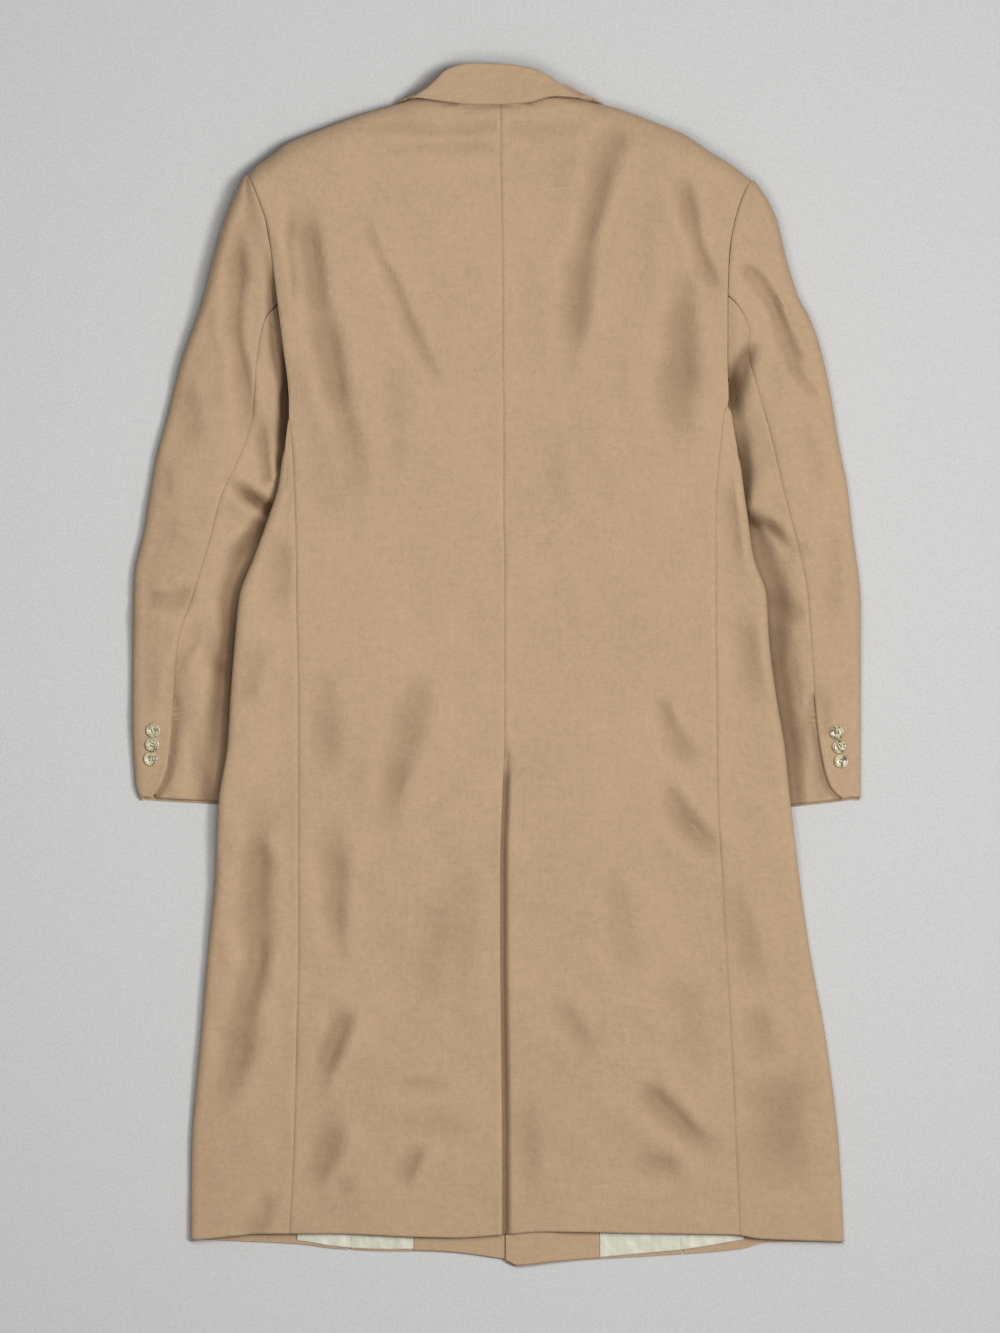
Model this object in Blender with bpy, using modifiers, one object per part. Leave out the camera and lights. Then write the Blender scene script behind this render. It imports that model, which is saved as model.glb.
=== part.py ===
"""A full-length wool overcoat, laid out flat on a surface with its back up.

The collar points to +Y, the hem to -Y, and the surface is z = 0. Seen from above, left and right
are the wearer's own. The tables are in millimetres, and every mesh is in metres.

The coat is a flattened tube. Its fronts lie on the surface, its back lies over them, and the side
panels go round the two side folds. The sleeves lie on the surface too, and the sides of the body
rest on their inner halves.
"""

import math
from collections import namedtuple

import bmesh
import bpy
import numpy as np

MM = 0.001

# Levels (y) that the pieces are cut to
HEM_LEVEL = -590.0
NECK_LEVEL = 580.0
CENTRE_HEM = -580.0
CENTRE_NECK = 578.0

# Cloth
WOOL = 2.5
FACING = 1.6
LINING_CLOTH = 1.0
SEAM = 0.3
LAYER = 0.8
ARMHOLE_SEAM = 1.0
HIDDEN_SEAM = 1.2
COLLAR_ROLL = 3.0

# How the layers lie
SHOULDER_SEAM_Z = 20.0
SHOULDER_SLANT = 0.92
LEFT_NECK_END = (-90.0, -50.0)
RIGHT_NECK_END = (55.0, 90.0)
NECK_GAP = 1.3
NECK_ENDS = (118.0, 150.0)
SHOULDER_ROUND_TOP = 24.0
SHOULDER_ROUND_BASE = 26.0
SIDE_FOLD = 9.0
SLEEVE_FOLD = 12.0
INNER_FOLD = 6.0
OVER_SLEEVE = 2.0
UNDERARM_RISE = 3.5
SLEEVE_RISE = 48.0
CUFF_RISE = 60.0
CUFF_CLEAR = 40.0
LAPEL_CLEAR = 32.0
LAPEL_RISE = 30.0

# Vents and overlaps
VENT_TOP = -97.0
VENT_SHARE = (VENT_TOP - CENTRE_HEM) / (CENTRE_NECK - CENTRE_HEM)
VENT_UNDERLAP = 42.0
CUFF_VENT_TOP = -38.0
VENT_ROWS = 0.15
CUFF_UNDERLAP = 22.0
CUFF_DIP = 4.4
CUFF_DIP_END = 38.0
FRONT_EDGE = 9.0
FRONT_OVERLAP = 9.0
LAPEL_BREAK = 180.0
LAPEL_LIFTS = 30.0
LAPEL_TOP = 448.0
SHOWN_DEPTH = 62.0

# Buttons
BUTTON = 14.2
BUTTON_THICK = 2.6
BUTTON_SIDES = 16
BUTTON_BEVEL = 0.8
BUTTON_RIM = 1.5
BUTTON_DISH = 0.7
BUTTON_GAP = 0.6

Body = namedtuple("Body", "y left_edge left_seam centre right_seam right_edge z_centre z_seam z_edge")
BODY = (
    Body(-590, -312, -212, 6, 248, 354, 14.5, 13.5, 12.5),
    Body(-494, -311, -207, 6, 244, 349, 15.0, 14.0, 13.0),
    Body(-384, -302, -204, 5, 239, 336, 14.5, 15.0, 13.5),
    Body(-290, -294, -202, 4, 234, 319, 15.0, 16.0, 14.5),
    Body(-205, -286, -202, 4, 229, 307, 15.5, 18.0, 17.5),
    Body(-138, -283, -202, 6, 225, 299, 16.0, 20.5, 21.5),
    Body(-81, -274, -202, 8, 224, 293, 17.0, 21.5, 22.0),
    Body(-33, -271, -202, 8, 224, 285, 17.5, 22.0, 22.5),
    Body(31, -266, -203, 8, 223, 277, 17.5, 22.5, 22.5),
    Body(70, -262, -204, 8, 223, 275, 18.0, 22.5, 22.5),
    Body(113, -246, -204, 8, 223, 261, 18.0, 23.0, 22.0),
    Body(149, -233, -205, 7, 223, 256, 18.5, 23.0, 22.0),
    Body(184, -222, -206, 7, 224, 251, 19.0, 23.0, 21.0),
    Body(225, -217, -208, 7, 228, 246, 20.0, 23.5, 19.5),
    Body(263, -214, -210, 7, 232, 240, 21.0, 24.5, 19.5),
    Body(311, -212, -211, 6, 235, 236, 22.0, 27.5, 24.0),
    Body(347, -212, -211, 6, 235, 236, 23.5, 31.5, 30.0),
    Body(400, -212, -211, 6, 235, 236, 26.0, 36.5, 36.0),
    Body(450, -212, -211, 5, 235, 236, 28.5, 40.0, 40.0),
    Body(520, -212, -211, 4, 235, 236, 31.5, 42.0, 42.0),
    Body(580, -212, -211, 4, 235, 236, 33.0, 42.0, 42.0),
)

Armhole = namedtuple("Armhole", "y back front")
LEFT_ARMHOLE = (
    Armhole(230, -215, -215),
    Armhole(245, -213, -203),
    Armhole(263, -211, -194),
    Armhole(284, -212, -190),
    Armhole(317, -216, -191),
    Armhole(373, -223, -200),
    Armhole(423, -229, -218),
    Armhole(452, -234, -232),
    Armhole(469, -240, -239),
    Armhole(485, -246, -246),
    Armhole(499, -253, -253),
)
RIGHT_ARMHOLE = (
    Armhole(224, 245, 245),
    Armhole(240, 242, 231),
    Armhole(259, 239, 222),
    Armhole(276, 236, 218),
    Armhole(313, 235, 214),
    Armhole(374, 235, 218),
    Armhole(406, 236, 226),
    Armhole(432, 238, 233),
    Armhole(448, 241, 239),
    Armhole(466, 246, 246),
    Armhole(482, 252, 252),
    Armhole(494, 259, 259),
)

Line = namedtuple("Line", "y x")
LEFT_FRONT_SEAM = (
    Line(-600, -150),
    Line(60, -150),
    Line(200, -168),
    Line(284, -190),
)
RIGHT_FRONT_SEAM = (
    Line(-600, 190),
    Line(60, 162),
    Line(200, 190),
    Line(276, 218),
)

# The sleeves: the outer fold, the elbow seam down to the cuff's corner, and the hidden inner fold.
LEFT_OUTER = (
    Line(-134, -364),
    Line(-120, -368),
    Line(-50, -371),
    Line(50, -370),
    Line(90, -369),
    Line(138, -359),
    Line(205, -348),
    Line(251, -336),
    Line(310, -321),
    Line(373, -299),
    Line(413, -289),
    Line(450, -278),
    Line(485, -264),
    Line(499, -256),
)
LEFT_ELBOW = (
    Line(-133, -350),
    Line(-127, -345),
    Line(-117, -340),
    Line(-99, -335),
    Line(-50, -330),
    Line(0, -327),
    Line(27, -324),
    Line(70, -310),
    Line(129, -292),
    Line(171, -281),
    Line(203, -266),
    Line(224, -257),
    Line(247, -250),
    Line(312, -244),
    Line(338, -240),
    Line(353, -235),
    Line(368, -224),
)
LEFT_INSEAM = (
    Line(-142, -240),
    Line(0, -215),
    Line(120, -200),
    Line(200, -207),
    Line(228, -222),
)
LEFT_INNER = (
    Line(-142, -212),
    Line(-100, -207),
    Line(-50, -194),
    Line(50, -175),
    Line(108, -166),
    Line(160, -164),
    Line(185, -172),
    Line(210, -190),
    Line(230, -214),
)
RIGHT_OUTER = (
    Line(-134, 371),
    Line(-27, 371),
    Line(61, 371),
    Line(90, 369),
    Line(133, 363),
    Line(184, 357),
    Line(224, 349),
    Line(273, 341),
    Line(326, 329),
    Line(356, 318),
    Line(374, 308),
    Line(415, 295),
    Line(452, 286),
    Line(469, 279),
    Line(482, 271),
    Line(494, 262),
)
RIGHT_ELBOW = (
    Line(-134, 351),
    Line(-130, 345),
    Line(-119, 338),
    Line(-97, 332),
    Line(-57, 326),
    Line(39, 319),
    Line(76, 316),
    Line(108, 310),
    Line(178, 292),
    Line(229, 280),
    Line(280, 266),
    Line(300, 260),
    Line(320, 256),
    Line(340, 257),
    Line(353, 253),
    Line(364, 247),
    Line(376, 236),
)
RIGHT_INSEAM = (
    Line(-150, 247),
    Line(0, 218),
    Line(120, 206),
    Line(195, 226),
    Line(222, 252),
)
RIGHT_INNER = (
    Line(-150, 219),
    Line(-100, 213),
    Line(-50, 196),
    Line(50, 176),
    Line(108, 169),
    Line(150, 169),
    Line(180, 184),
    Line(205, 212),
    Line(224, 244),
)

# The sleeve's upper face: its height in the middle, and where the body meets or covers it.
Loft = namedtuple("Loft", "y outer inner")
LOFT = (
    Loft(-145, 10.8, 10.2),
    Loft(-100, 13.0, 10.4),
    Loft(0, 15.5, 10.6),
    Loft(100, 17.0, 10.6),
    Loft(166, 17.5, 9.8),
    Loft(204, 18.0, 8.4),
    Loft(230, 18.5, 6.8),
    Loft(250, 19.0, 9.0),
    Loft(284, 21.0, 16.0),
    Loft(317, 23.0, 24.0),
    Loft(347, 26.0, 30.0),
    Loft(400, 31.0, 36.0),
    Loft(450, 34.0, 39.5),
    Loft(499, 35.0, 41.0),
)

# Edges that run across the coat, from left to right.
Edge = namedtuple("Edge", "x y")
SHOULDERS = (
    Edge(-253, 499),
    Edge(-242, 510),
    Edge(-229, 519),
    Edge(-214, 531),
    Edge(-190, 541),
    Edge(-136, 561),
    Edge(-105, 570),
    Edge(-93, 573.5),
    Edge(-84, 577.5),
    Edge(-76, 578.5),
    Edge(-52, 576.5),
    Edge(6, 578),
    Edge(57, 577),
    Edge(77, 581),
    Edge(87, 578.5),
    Edge(97, 572.5),
    Edge(116, 569),
    Edge(166, 551),
    Edge(192, 540),
    Edge(217, 523),
    Edge(234, 513),
    Edge(259, 494),
)
BACK_HEM = (
    Edge(-312, -585),
    Edge(-234, -579),
    Edge(-168, -579),
    Edge(-84, -582),
    Edge(-40, -583),
    Edge(6, -580),
    Edge(48, -577),
    Edge(165, -579),
    Edge(243, -580),
    Edge(269, -584),
    Edge(354, -587),
)
FRONT_HEM = (
    Edge(-312, -585),
    Edge(-200, -590),
    Edge(-168, -594),
    Edge(-107, -597),
    Edge(-84, -597),
    Edge(7, -606),
    Edge(12, -608),
    Edge(20, -612),
    Edge(61, -608),
    Edge(105, -605),
    Edge(217, -598),
    Edge(256, -594),
    Edge(278, -588),
    Edge(354, -587),
)

# The front edge, then the lapel's roll line, then the neckline under the collar.
Roll = namedtuple("Roll", "y left right lapel_left lapel_right")
ROLL = (
    Roll(180, 8, 12, 2, 16),
    Roll(250, -4, 20, -24, 38),
    Roll(330, -20, 35, -60, 74),
    Roll(400, -36, 51, -96, 110),
    Roll(448, -56, 70, -128, 142),
    Roll(468, -64, 78, -120, 132),
    Roll(515, -80, 92, -120, 132),
    Roll(556, -100, 110, -120, 130),
    Roll(575, -106, 116, -120, 130),
)

# The collar, from the left notch round the neck to the right notch. Each station gives the fall's
# edge, the top of the roll and the stand's edge, all on the collar's outer face.
Station = namedtuple("Station", "fall roll stand")
COLLAR = (
    Station((-112, 456, 0.0), (-46, 470, 3.0), (-56, 468, 6.0)),
    Station((-121, 505, 0.0), (-57, 518, 3.0), (-72, 515, 6.0)),
    Station((-116, 545, 0.0), (-66, 554, 4.0), (-82, 551, 8.0)),
    Station((-107, 566, 3.0), (-67, 571, 9.0), (-84, 565, 13.0)),
    Station((-95, 577, 17.0), (-67, 583, 21.0), (-84, 577, 19.0)),
    Station((-83, 577, 34.0), (-62, 594, 31.0), (-77, 581, 25.5)),
    Station((-54, 573, 37.0), (-50, 606, 34.5), (-52, 580, 30.4)),
    Station((-25, 570, 37.0), (-25, 612.5, 34.5), (-25, 579, 30.4)),
    Station((2, 570, 37.0), (6, 611.5, 34.5), (6, 580, 30.4)),
    Station((30, 572, 37.0), (37, 607, 34.5), (35, 579, 30.4)),
    Station((58, 578, 37.0), (61, 594, 34.0), (60, 580.5, 29.5)),
    Station((85, 576.5, 34.5), (76, 587, 31.0), (80, 582.5, 25.5)),
    Station((104, 576, 17.0), (79, 582, 21.0), (92, 577, 19.0)),
    Station((117, 563, 3.0), (78, 569, 9.0), (93, 562, 13.0)),
    Station((127, 542, 0.0), (76, 552, 4.0), (91, 548, 8.0)),
    Station((132, 502, 0.0), (70, 514, 3.0), (84, 511, 6.0)),
    Station((124, 452, 0.0), (60, 466, 3.0), (70, 464, 6.0)),
)

# The deepest troughs in the back, each along a bent line.
Fold = namedtuple("Fold", "start bend end width depth")
FOLDS = (
    Fold((-190, 465), (-178, 350), (-148, 230), 17, 3.2),
    Fold((122, 545), (80, 470), (80, 360), 20, 2.4),
    Fold((196, 452), (212, 425), (228, 384), 15, 2.0),
    Fold((188, 400), (180, 300), (176, 210), 22, 2.4),
    Fold((-100, 398), (-80, 340), (-50, 270), 17, 2.0),
    Fold((-246, -238), (-256, -330), (-282, -455), 22, 2.4),
    Fold((-146, -350), (-160, -400), (-184, -430), 20, 1.8),
    Fold((-160, -455), (-166, -490), (-190, -535), 18, 1.8),
    Fold((176, -447), (204, -492), (228, -492), 20, 1.8),
    Fold((262, -300), (272, -370), (276, -420), 22, 1.8),
)


def smooth_line(xs, ys):
    """A curve through the points (xs, ys) that doesn't overshoot them, as a function of x."""
    xs, ys = np.asarray(xs, float), np.asarray(ys, float)
    runs = np.diff(xs)
    slopes = np.diff(ys) / runs
    turning = slopes[:-1] * slopes[1:] <= 0
    total = np.where(turning, 1.0, slopes[:-1] + slopes[1:])
    inner = np.where(turning, 0.0, 2 * slopes[:-1] * slopes[1:] / total)
    bends = np.concatenate([slopes[:1], inner, slopes[-1:]])

    def value(x):
        x = np.clip(x, xs[0], xs[-1])
        i = np.clip(np.searchsorted(xs, x, side="right") - 1, 0, len(runs) - 1)
        t = (x - xs[i]) / runs[i]
        rise = ys[i] + t * (ys[i + 1] - ys[i])
        lean_in = runs[i] * (bends[i] - slopes[i])
        lean_out = runs[i] * (bends[i + 1] - slopes[i])
        return rise + t * (1 - t) * ((1 - t) * lean_in - t * lean_out)

    return value


def column(rows, name, along="y"):
    """A table's column as a smooth function of its first column."""
    return smooth_line([getattr(r, along) for r in rows], [getattr(r, name) for r in rows])


def mix(a, b, t):
    return a + (b - a) * t


def ease(low, high, x):
    """0 below low, 1 above high and smooth between, for low < high."""
    t = np.clip((x - low) / (high - low), 0, 1)
    return t * t * (3 - 2 * t)


def quarter_round(distance, radius):
    """How far a rounded edge has risen, 0 at the edge and 1 at its radius and beyond."""
    t = np.clip(distance / radius, 0, 1)
    return np.sqrt(1 - (1 - t) ** 2)


centre = column(BODY, "centre")
z_centre = column(BODY, "z_centre")
z_seam = column(BODY, "z_seam")
z_edge = column(BODY, "z_edge")
top_line = column(SHOULDERS, "y", "x")
back_hem = column(BACK_HEM, "y", "x")
front_hem = column(FRONT_HEM, "y", "x")
loft_outer = column(LOFT, "outer")
loft_inner = column(LOFT, "inner")


class Side:
    """One side of the coat: its lines as functions of y. out is -1 on the left and 1 on the right."""

    def __init__(self, name, out, armhole, front_seam, outer, elbow, inseam, inner):
        self.name = name
        self.out = out
        self.edge = column(BODY, name + "_edge")
        self.side_seam = column(BODY, name + "_seam")
        self.armhole = column(armhole, "back")
        self.front_armhole = column(armhole, "front")
        self.front_seam = column(front_seam, "x")
        self.outer = column(outer, "x")
        self.elbow = column(elbow, "x")
        self.inseam = column(inseam, "x")
        self.inner = column(inner, "x")
        self.front_edge = column(ROLL, name)
        self.lapel = column(ROLL, "lapel_" + name)
        self.underarm = armhole[0].y
        self.seam_top = armhole[2].y if out < 0 else armhole[3].y
        self.front_seam_top = front_seam[-1].y
        self.crown = armhole[-1].y
        self.shoulder = armhole[-1].back
        self.elbow_top = elbow[-1].y
        self.cuff = outer[0].y
        self.cuff_inner = inner[0].y

    def back_boundary(self, y):
        """The side seam and, above it, the back of the armhole."""
        return np.where(y < self.seam_top, self.side_seam(y), self.armhole(y))

    def body_edge(self, y):
        """The side fold and, above it, the back of the armhole."""
        return np.where(y < self.underarm, self.edge(y), self.armhole(y))

    def cover(self, x, y):
        """Height that the sleeve takes from the body's underside: 0 clear of the sleeve."""
        past = (self.inner(y - 35) - x) * self.out
        across = 1 - ease(12, 12 + SLEEVE_RISE, past)
        along = ease(self.cuff - CUFF_CLEAR - CUFF_RISE, self.cuff - CUFF_CLEAR, y)
        along = along * (1 - ease(self.underarm + 22, self.underarm + 80, y))
        over = OVER_SLEEVE + UNDERARM_RISE * ease(self.underarm - 60, self.underarm - 20, y)
        return (loft_inner(np.minimum(y, self.underarm)) + over) * across * along


LEFT_LINES = (LEFT_ARMHOLE, LEFT_FRONT_SEAM, LEFT_OUTER, LEFT_ELBOW, LEFT_INSEAM, LEFT_INNER)
RIGHT_LINES = (RIGHT_ARMHOLE, RIGHT_FRONT_SEAM, RIGHT_OUTER, RIGHT_ELBOW, RIGHT_INSEAM, RIGHT_INNER)
SIDES = (Side("left", -1, *LEFT_LINES), Side("right", 1, *RIGHT_LINES))


def shoulder_share(x):
    """1 along the shoulders, where the edge is rounded, and 0 along the neckline."""
    return 1 - ease(*LEFT_NECK_END, x) * (1 - ease(*RIGHT_NECK_END, x))


def fold_depth(x, y):
    """Depth of the hand-placed troughs at a point of the back."""
    depth = np.zeros_like(x)
    steps = np.linspace(0, 1, 21)[:, None]
    for fold in FOLDS:
        start, bend, end = (np.array(p, float) for p in (fold.start, fold.bend, fold.end))
        line = (1 - steps) ** 2 * start + 2 * steps * (1 - steps) * bend + steps**2 * end
        away = np.hypot(x[..., None] - line[:, 0], y[..., None] - line[:, 1])
        nearest = away.argmin(axis=-1)
        taper = np.sqrt(np.sin(math.pi * np.clip(steps[nearest, 0], 0.02, 0.98)))
        depth = depth + fold.depth * taper * np.exp(-((away.min(axis=-1) / fold.width) ** 2))
    return depth


def body_top(x, y):
    """Height of the coat's upper face."""
    left, right = SIDES
    half = np.where(x < centre(y), left.back_boundary(y), right.back_boundary(y))
    edge = np.where(x < centre(y), left.body_edge(y), right.body_edge(y))
    across = (x - centre(y)) / (half - centre(y))
    over = (x - half) / np.where(np.abs(edge - half) < 1, 1.0, edge - half)
    flat = mix(z_centre(y), z_seam(y), ease(0.1, 1.0, across))
    flat = mix(flat, z_edge(y), np.clip(over, 0, 1) * (across > 1))
    flat = flat - fold_depth(x, y)
    risen = quarter_round((top_line(x) - y) * SHOULDER_SLANT, SHOULDER_ROUND_TOP)
    rounded = mix(SHOULDER_SEAM_Z, flat, risen)
    return mix(flat, rounded, shoulder_share(x))


def body_base(x, y):
    """Height of the underside of the fronts: what lies between them and the surface lifts them."""
    left, right = SIDES
    lift = np.maximum(left.cover(x, y), right.cover(x, y))
    under = ease(LAPEL_LIFTS, LAPEL_LIFTS + 50, y)
    for side in SIDES:
        past = (x - side.lapel(y)) * side.out
        inside = (x - centre(y)) * side.out > 0
        near = 1 - ease(LAPEL_CLEAR, LAPEL_CLEAR + LAPEL_RISE, past)
        lift = np.maximum(lift, inside * under * (WOOL + LAYER) * near)
    risen = quarter_round((top_line(x) - y) * SHOULDER_SLANT, SHOULDER_ROUND_BASE)
    seam = SHOULDER_SEAM_Z - LAYER - NECK_GAP * (1 - ease(*NECK_ENDS, np.abs(x)))
    return mix(lift, mix(seam, lift, risen), shoulder_share(x))


def sleeve_top(side, x, y):
    """Height of a sleeve's upper face, also where the body covers it."""
    covered = side.body_edge(y)
    across = (x - side.outer(y)) / (covered - side.outer(y))
    hidden = ease(0, 8, (covered - x) * side.out)
    inner = mix(loft_inner(y), loft_inner(np.minimum(y, side.underarm)), hidden)
    flat = mix(loft_outer(y), inner, ease(0.45, 0.97, across))
    return mix(SHOULDER_SEAM_Z, flat, quarter_round(side.crown + 2 - y, SHOULDER_ROUND_TOP))


def sleeve_base(side, y):
    """Height of a sleeve's underside."""
    return SHOULDER_SEAM_Z * (1 - quarter_round(side.crown + 2 - y, SHOULDER_ROUND_BASE))


def turned(edge, inward, depth, top, base, turn):
    """x and z round a fold, for turn from 0 on its upper face to 1 on its lower one."""
    angle = turn * math.pi
    x = edge + inward * depth * (1 - np.sin(angle))
    return x, (top + base) / 2 + (top - base) / 2 * np.cos(angle)


def lines(*stretches):
    """Grid lines from (start, end, cells) stretches that follow each other."""
    ends = [np.linspace(a, b, n + 1)[1:] for a, b, n in stretches]
    return np.concatenate([[stretches[0][0]], *ends])


def cloth(name, columns, rows, surface, wall, finish, faces_up=True, keep=None):
    """A piece of cloth: a grid bent onto surface(u, v), with its wall behind that outer face."""
    sheet = bmesh.new()
    bmesh.ops.create_grid(
        sheet, x_segments=len(columns) - 1, y_segments=len(rows) - 1, size=0.5
    )
    at = np.array([vert.co for vert in sheet.verts])
    u = columns[np.rint((at[:, 0] + 0.5) * (len(columns) - 1)).astype(int)]
    v = rows[np.rint((at[:, 1] + 0.5) * (len(rows) - 1)).astype(int)]
    if keep:
        kept = keep(u, v)
        spare = [f for f in sheet.faces if not all(kept[w.index] for w in f.verts)]
    for vert, place in zip(sheet.verts, np.stack(surface(u, v), axis=-1) * MM):
        vert.co = place
    if keep:
        bmesh.ops.delete(sheet, geom=spare, context="FACES")
    sheet.normal_update()
    first = min(sheet.faces, key=lambda f: f.index)
    if (first.normal.z > 0) != faces_up:
        bmesh.ops.reverse_faces(sheet, faces=sheet.faces[:])
    obj = new_object(name, sheet, finish)
    solid = obj.modifiers.new("cloth", "SOLIDIFY")
    solid.thickness = wall * MM
    solid.offset = -1
    return obj


def new_object(name, mesh, finish):
    """The bmesh as a named object in the coat's collection."""
    data = bpy.data.meshes.new(name)
    mesh.to_mesh(data)
    mesh.free()
    data.shade_smooth()
    data.materials.append(finish)
    obj = bpy.data.objects.new(name, data)
    bpy.data.collections["wool_overcoat"].objects.link(obj)
    return obj


def material(name, colour, roughness):
    made = bpy.data.materials.new(name)
    made.use_nodes = True
    shader = made.node_tree.nodes["Principled BSDF"]
    shader.inputs["Base Color"].default_value = (*colour, 1)
    shader.inputs["Roughness"].default_value = roughness
    shader.inputs["Metallic"].default_value = 0
    return made


def back_rows(side):
    """The back panel's rows as shares of its length, and the share where its side seam ends."""
    hem = back_hem(side.side_seam(HEM_LEVEL))
    seam_share = (side.seam_top - hem) / (side.crown - hem)
    close = mix(VENT_SHARE, seam_share, 0.68)
    runs = (0, VENT_SHARE, 9), (VENT_SHARE, close, 5), (close, seam_share, 5), (seam_share, 1, 9)
    return lines(*runs), seam_share


def back_panel(side, wool):
    """A back panel, from its side seam and armhole to the centre seam. The right one has the vent's
    underlap, in columns with u over 1."""
    rows, seam_share = back_rows(side)
    inset = SEAM / 2 * side.out
    underlap = side.out > 0

    def surface(u, v):
        across = np.minimum(u, 1)
        hem_x = mix(side.side_seam(HEM_LEVEL), centre(HEM_LEVEL), across)
        top_x = mix(side.shoulder, centre(NECK_LEVEL), across)
        y = mix(back_hem(hem_x), top_line(top_x), v)
        x = mix(side.back_boundary(y) - inset, centre(y) + inset, across)
        under = np.maximum(u - 1, 0)
        x = x - side.out * VENT_UNDERLAP * under
        vented = (1 - ease(VENT_TOP + 1, VENT_TOP + 20, y)) if underlap else 0
        dip = (WOOL + LAYER) * ease(-7, 1, (centre(y) - x) * side.out) * vented
        return x, y, body_top(x, y) - dip

    columns = lines((0, 1, 11), (1, 2, 3)) if underlap else lines((0, 1, 11))

    def keep(u, v):
        return (u <= 1) | (v <= VENT_SHARE + 1e-6)

    name = "back_" + side.name
    return cloth(name, columns, rows, surface, WOOL, wool, keep=keep if underlap else None)


def side_panel(side, wool):
    """The panel between the side seam on the back, round the side fold, and the seam on the front.
    u runs 0 to 1 on top, 1 to 2 round the fold and 2 to 3 underneath."""

    def surface(u, v):
        over, turn, under = np.clip(u, 0, 1), np.clip(u - 1, 0, 1), np.clip(u - 2, 0, 1)
        seam_hem, fold_hem = side.side_seam(HEM_LEVEL), side.edge(HEM_LEVEL)
        hem_top = back_hem(mix(seam_hem, fold_hem, over))
        hem_base = front_hem(mix(fold_hem, side.front_seam(HEM_LEVEL), under))
        low = np.where(u < 2, hem_top, hem_base)
        high = np.where(u < 2, mix(side.seam_top, side.underarm, over), side.underarm)
        high = np.where(u > 2, mix(side.underarm, side.front_seam_top, under), high) - ARMHOLE_SEAM
        y = mix(low, high, v)
        edge = side.edge(y)
        narrow = 1 - ease(2, 30, (edge - side.side_seam(y)) * side.out)
        seam = side.side_seam(y) + (SEAM / 2 + WOOL * narrow) * side.out
        depth = np.clip((edge - seam) * side.out * 0.6, 1.5, SIDE_FOLD)
        depth = mix(depth, 1.5, ease(side.underarm - 30, side.underarm - 4, y))
        start = edge - side.out * depth
        fold_x, fold_z = turned(
            edge, -side.out, depth, body_top(start, y), body_base(start, y), turn
        )
        x = np.where(u < 1, mix(seam, start, over), fold_x)
        z = np.where(u < 1, body_top(x, y), fold_z)
        far = mix(start, side.front_seam(y) + HIDDEN_SEAM * side.out, under)
        x = np.where(u > 2, far, x)
        return x, y, np.where(u > 2, body_base(far, y), z)

    shares, seam_share = back_rows(side)
    rows = shares[shares < seam_share + 1e-6] / seam_share
    columns = lines((0, 1, 4), (1, 2, 4), (2, 3, 5))
    return cloth("side_" + side.name, columns, rows, surface, WOOL, wool)


def front_panel(side, wool):
    """A front: it lies on the surface, or on what is between, and is lifted at the right's edge."""

    def surface(u, v):
        hem_x = mix(side.front_seam(HEM_LEVEL), FRONT_EDGE, u)
        top_x = mix(side.shoulder, side.front_edge(NECK_LEVEL), u)
        y = mix(front_hem(hem_x), top_line(top_x), v)
        outer = np.where(
            y < side.front_seam_top, side.front_seam(y), side.front_armhole(y)
        )
        below = FRONT_EDGE + (FRONT_OVERLAP if side.out < 0 else 0)
        inner = mix(below, side.front_edge(y), ease(LAPEL_LIFTS, LAPEL_LIFTS + 70, y))
        x = mix(outer - HIDDEN_SEAM * side.out, inner, u)
        return x, y, body_base(x, y) + front_lift(side, x, y)

    rows = lines((0, 0.6, 7), (0.6, 1, 12))
    name = "front_" + side.name
    return cloth(name, lines((0, 1, 8)), rows, surface, WOOL, wool, faces_up=False)


def front_lift(side, x, y):
    """The right front's edge lies on the left front, up to where the lapels part."""
    if side.out < 0:
        return np.zeros_like(x)
    near = 1 - ease(FRONT_EDGE + 32, FRONT_EDGE + 85, x)
    return (WOOL + LAYER) * near * (1 - ease(LAPEL_LIFTS + 80, LAPEL_BREAK, y))


def lapel(side, wool):
    """A lapel, folded back to lie flat between its front and the surface."""

    def surface(u, v):
        y = mix(LAPEL_BREAK + 6, LAPEL_TOP, v)
        x = mix(side.front_edge(y), side.lapel(y), u)
        return x, y + 12 * u * v * (1 - u), np.zeros_like(x)

    name = "lapel_" + side.name
    return cloth(name, lines((0, 1, 4)), lines((0, 1, 9)), surface, WOOL, wool, faces_up=False)


def hem_strip(strip, finish):
    """A facing or lining, lying on its front where the front's hem shows."""

    def surface(u, v):
        x = mix(strip.first, strip.last, u)
        hem = front_hem(x) + strip.drop
        y = mix(hem, hem + SHOWN_DEPTH, v)
        on = body_base(x, y) + front_lift(SIDES[strip.side], x, y) + WOOL + LAYER + strip.wall
        return x, y, on

    return cloth(strip.name, lines((0, 1, 8)), lines((0, 1, 3)), surface, strip.wall, finish)


def sleeve_cuff(side, x):
    """The cuff's edge: it slants a little between the outer and the inner fold."""
    share = (x - side.outer(side.cuff)) / (side.inner(side.cuff_inner) - side.outer(side.cuff))
    return mix(side.cuff, side.cuff_inner, share)


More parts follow.
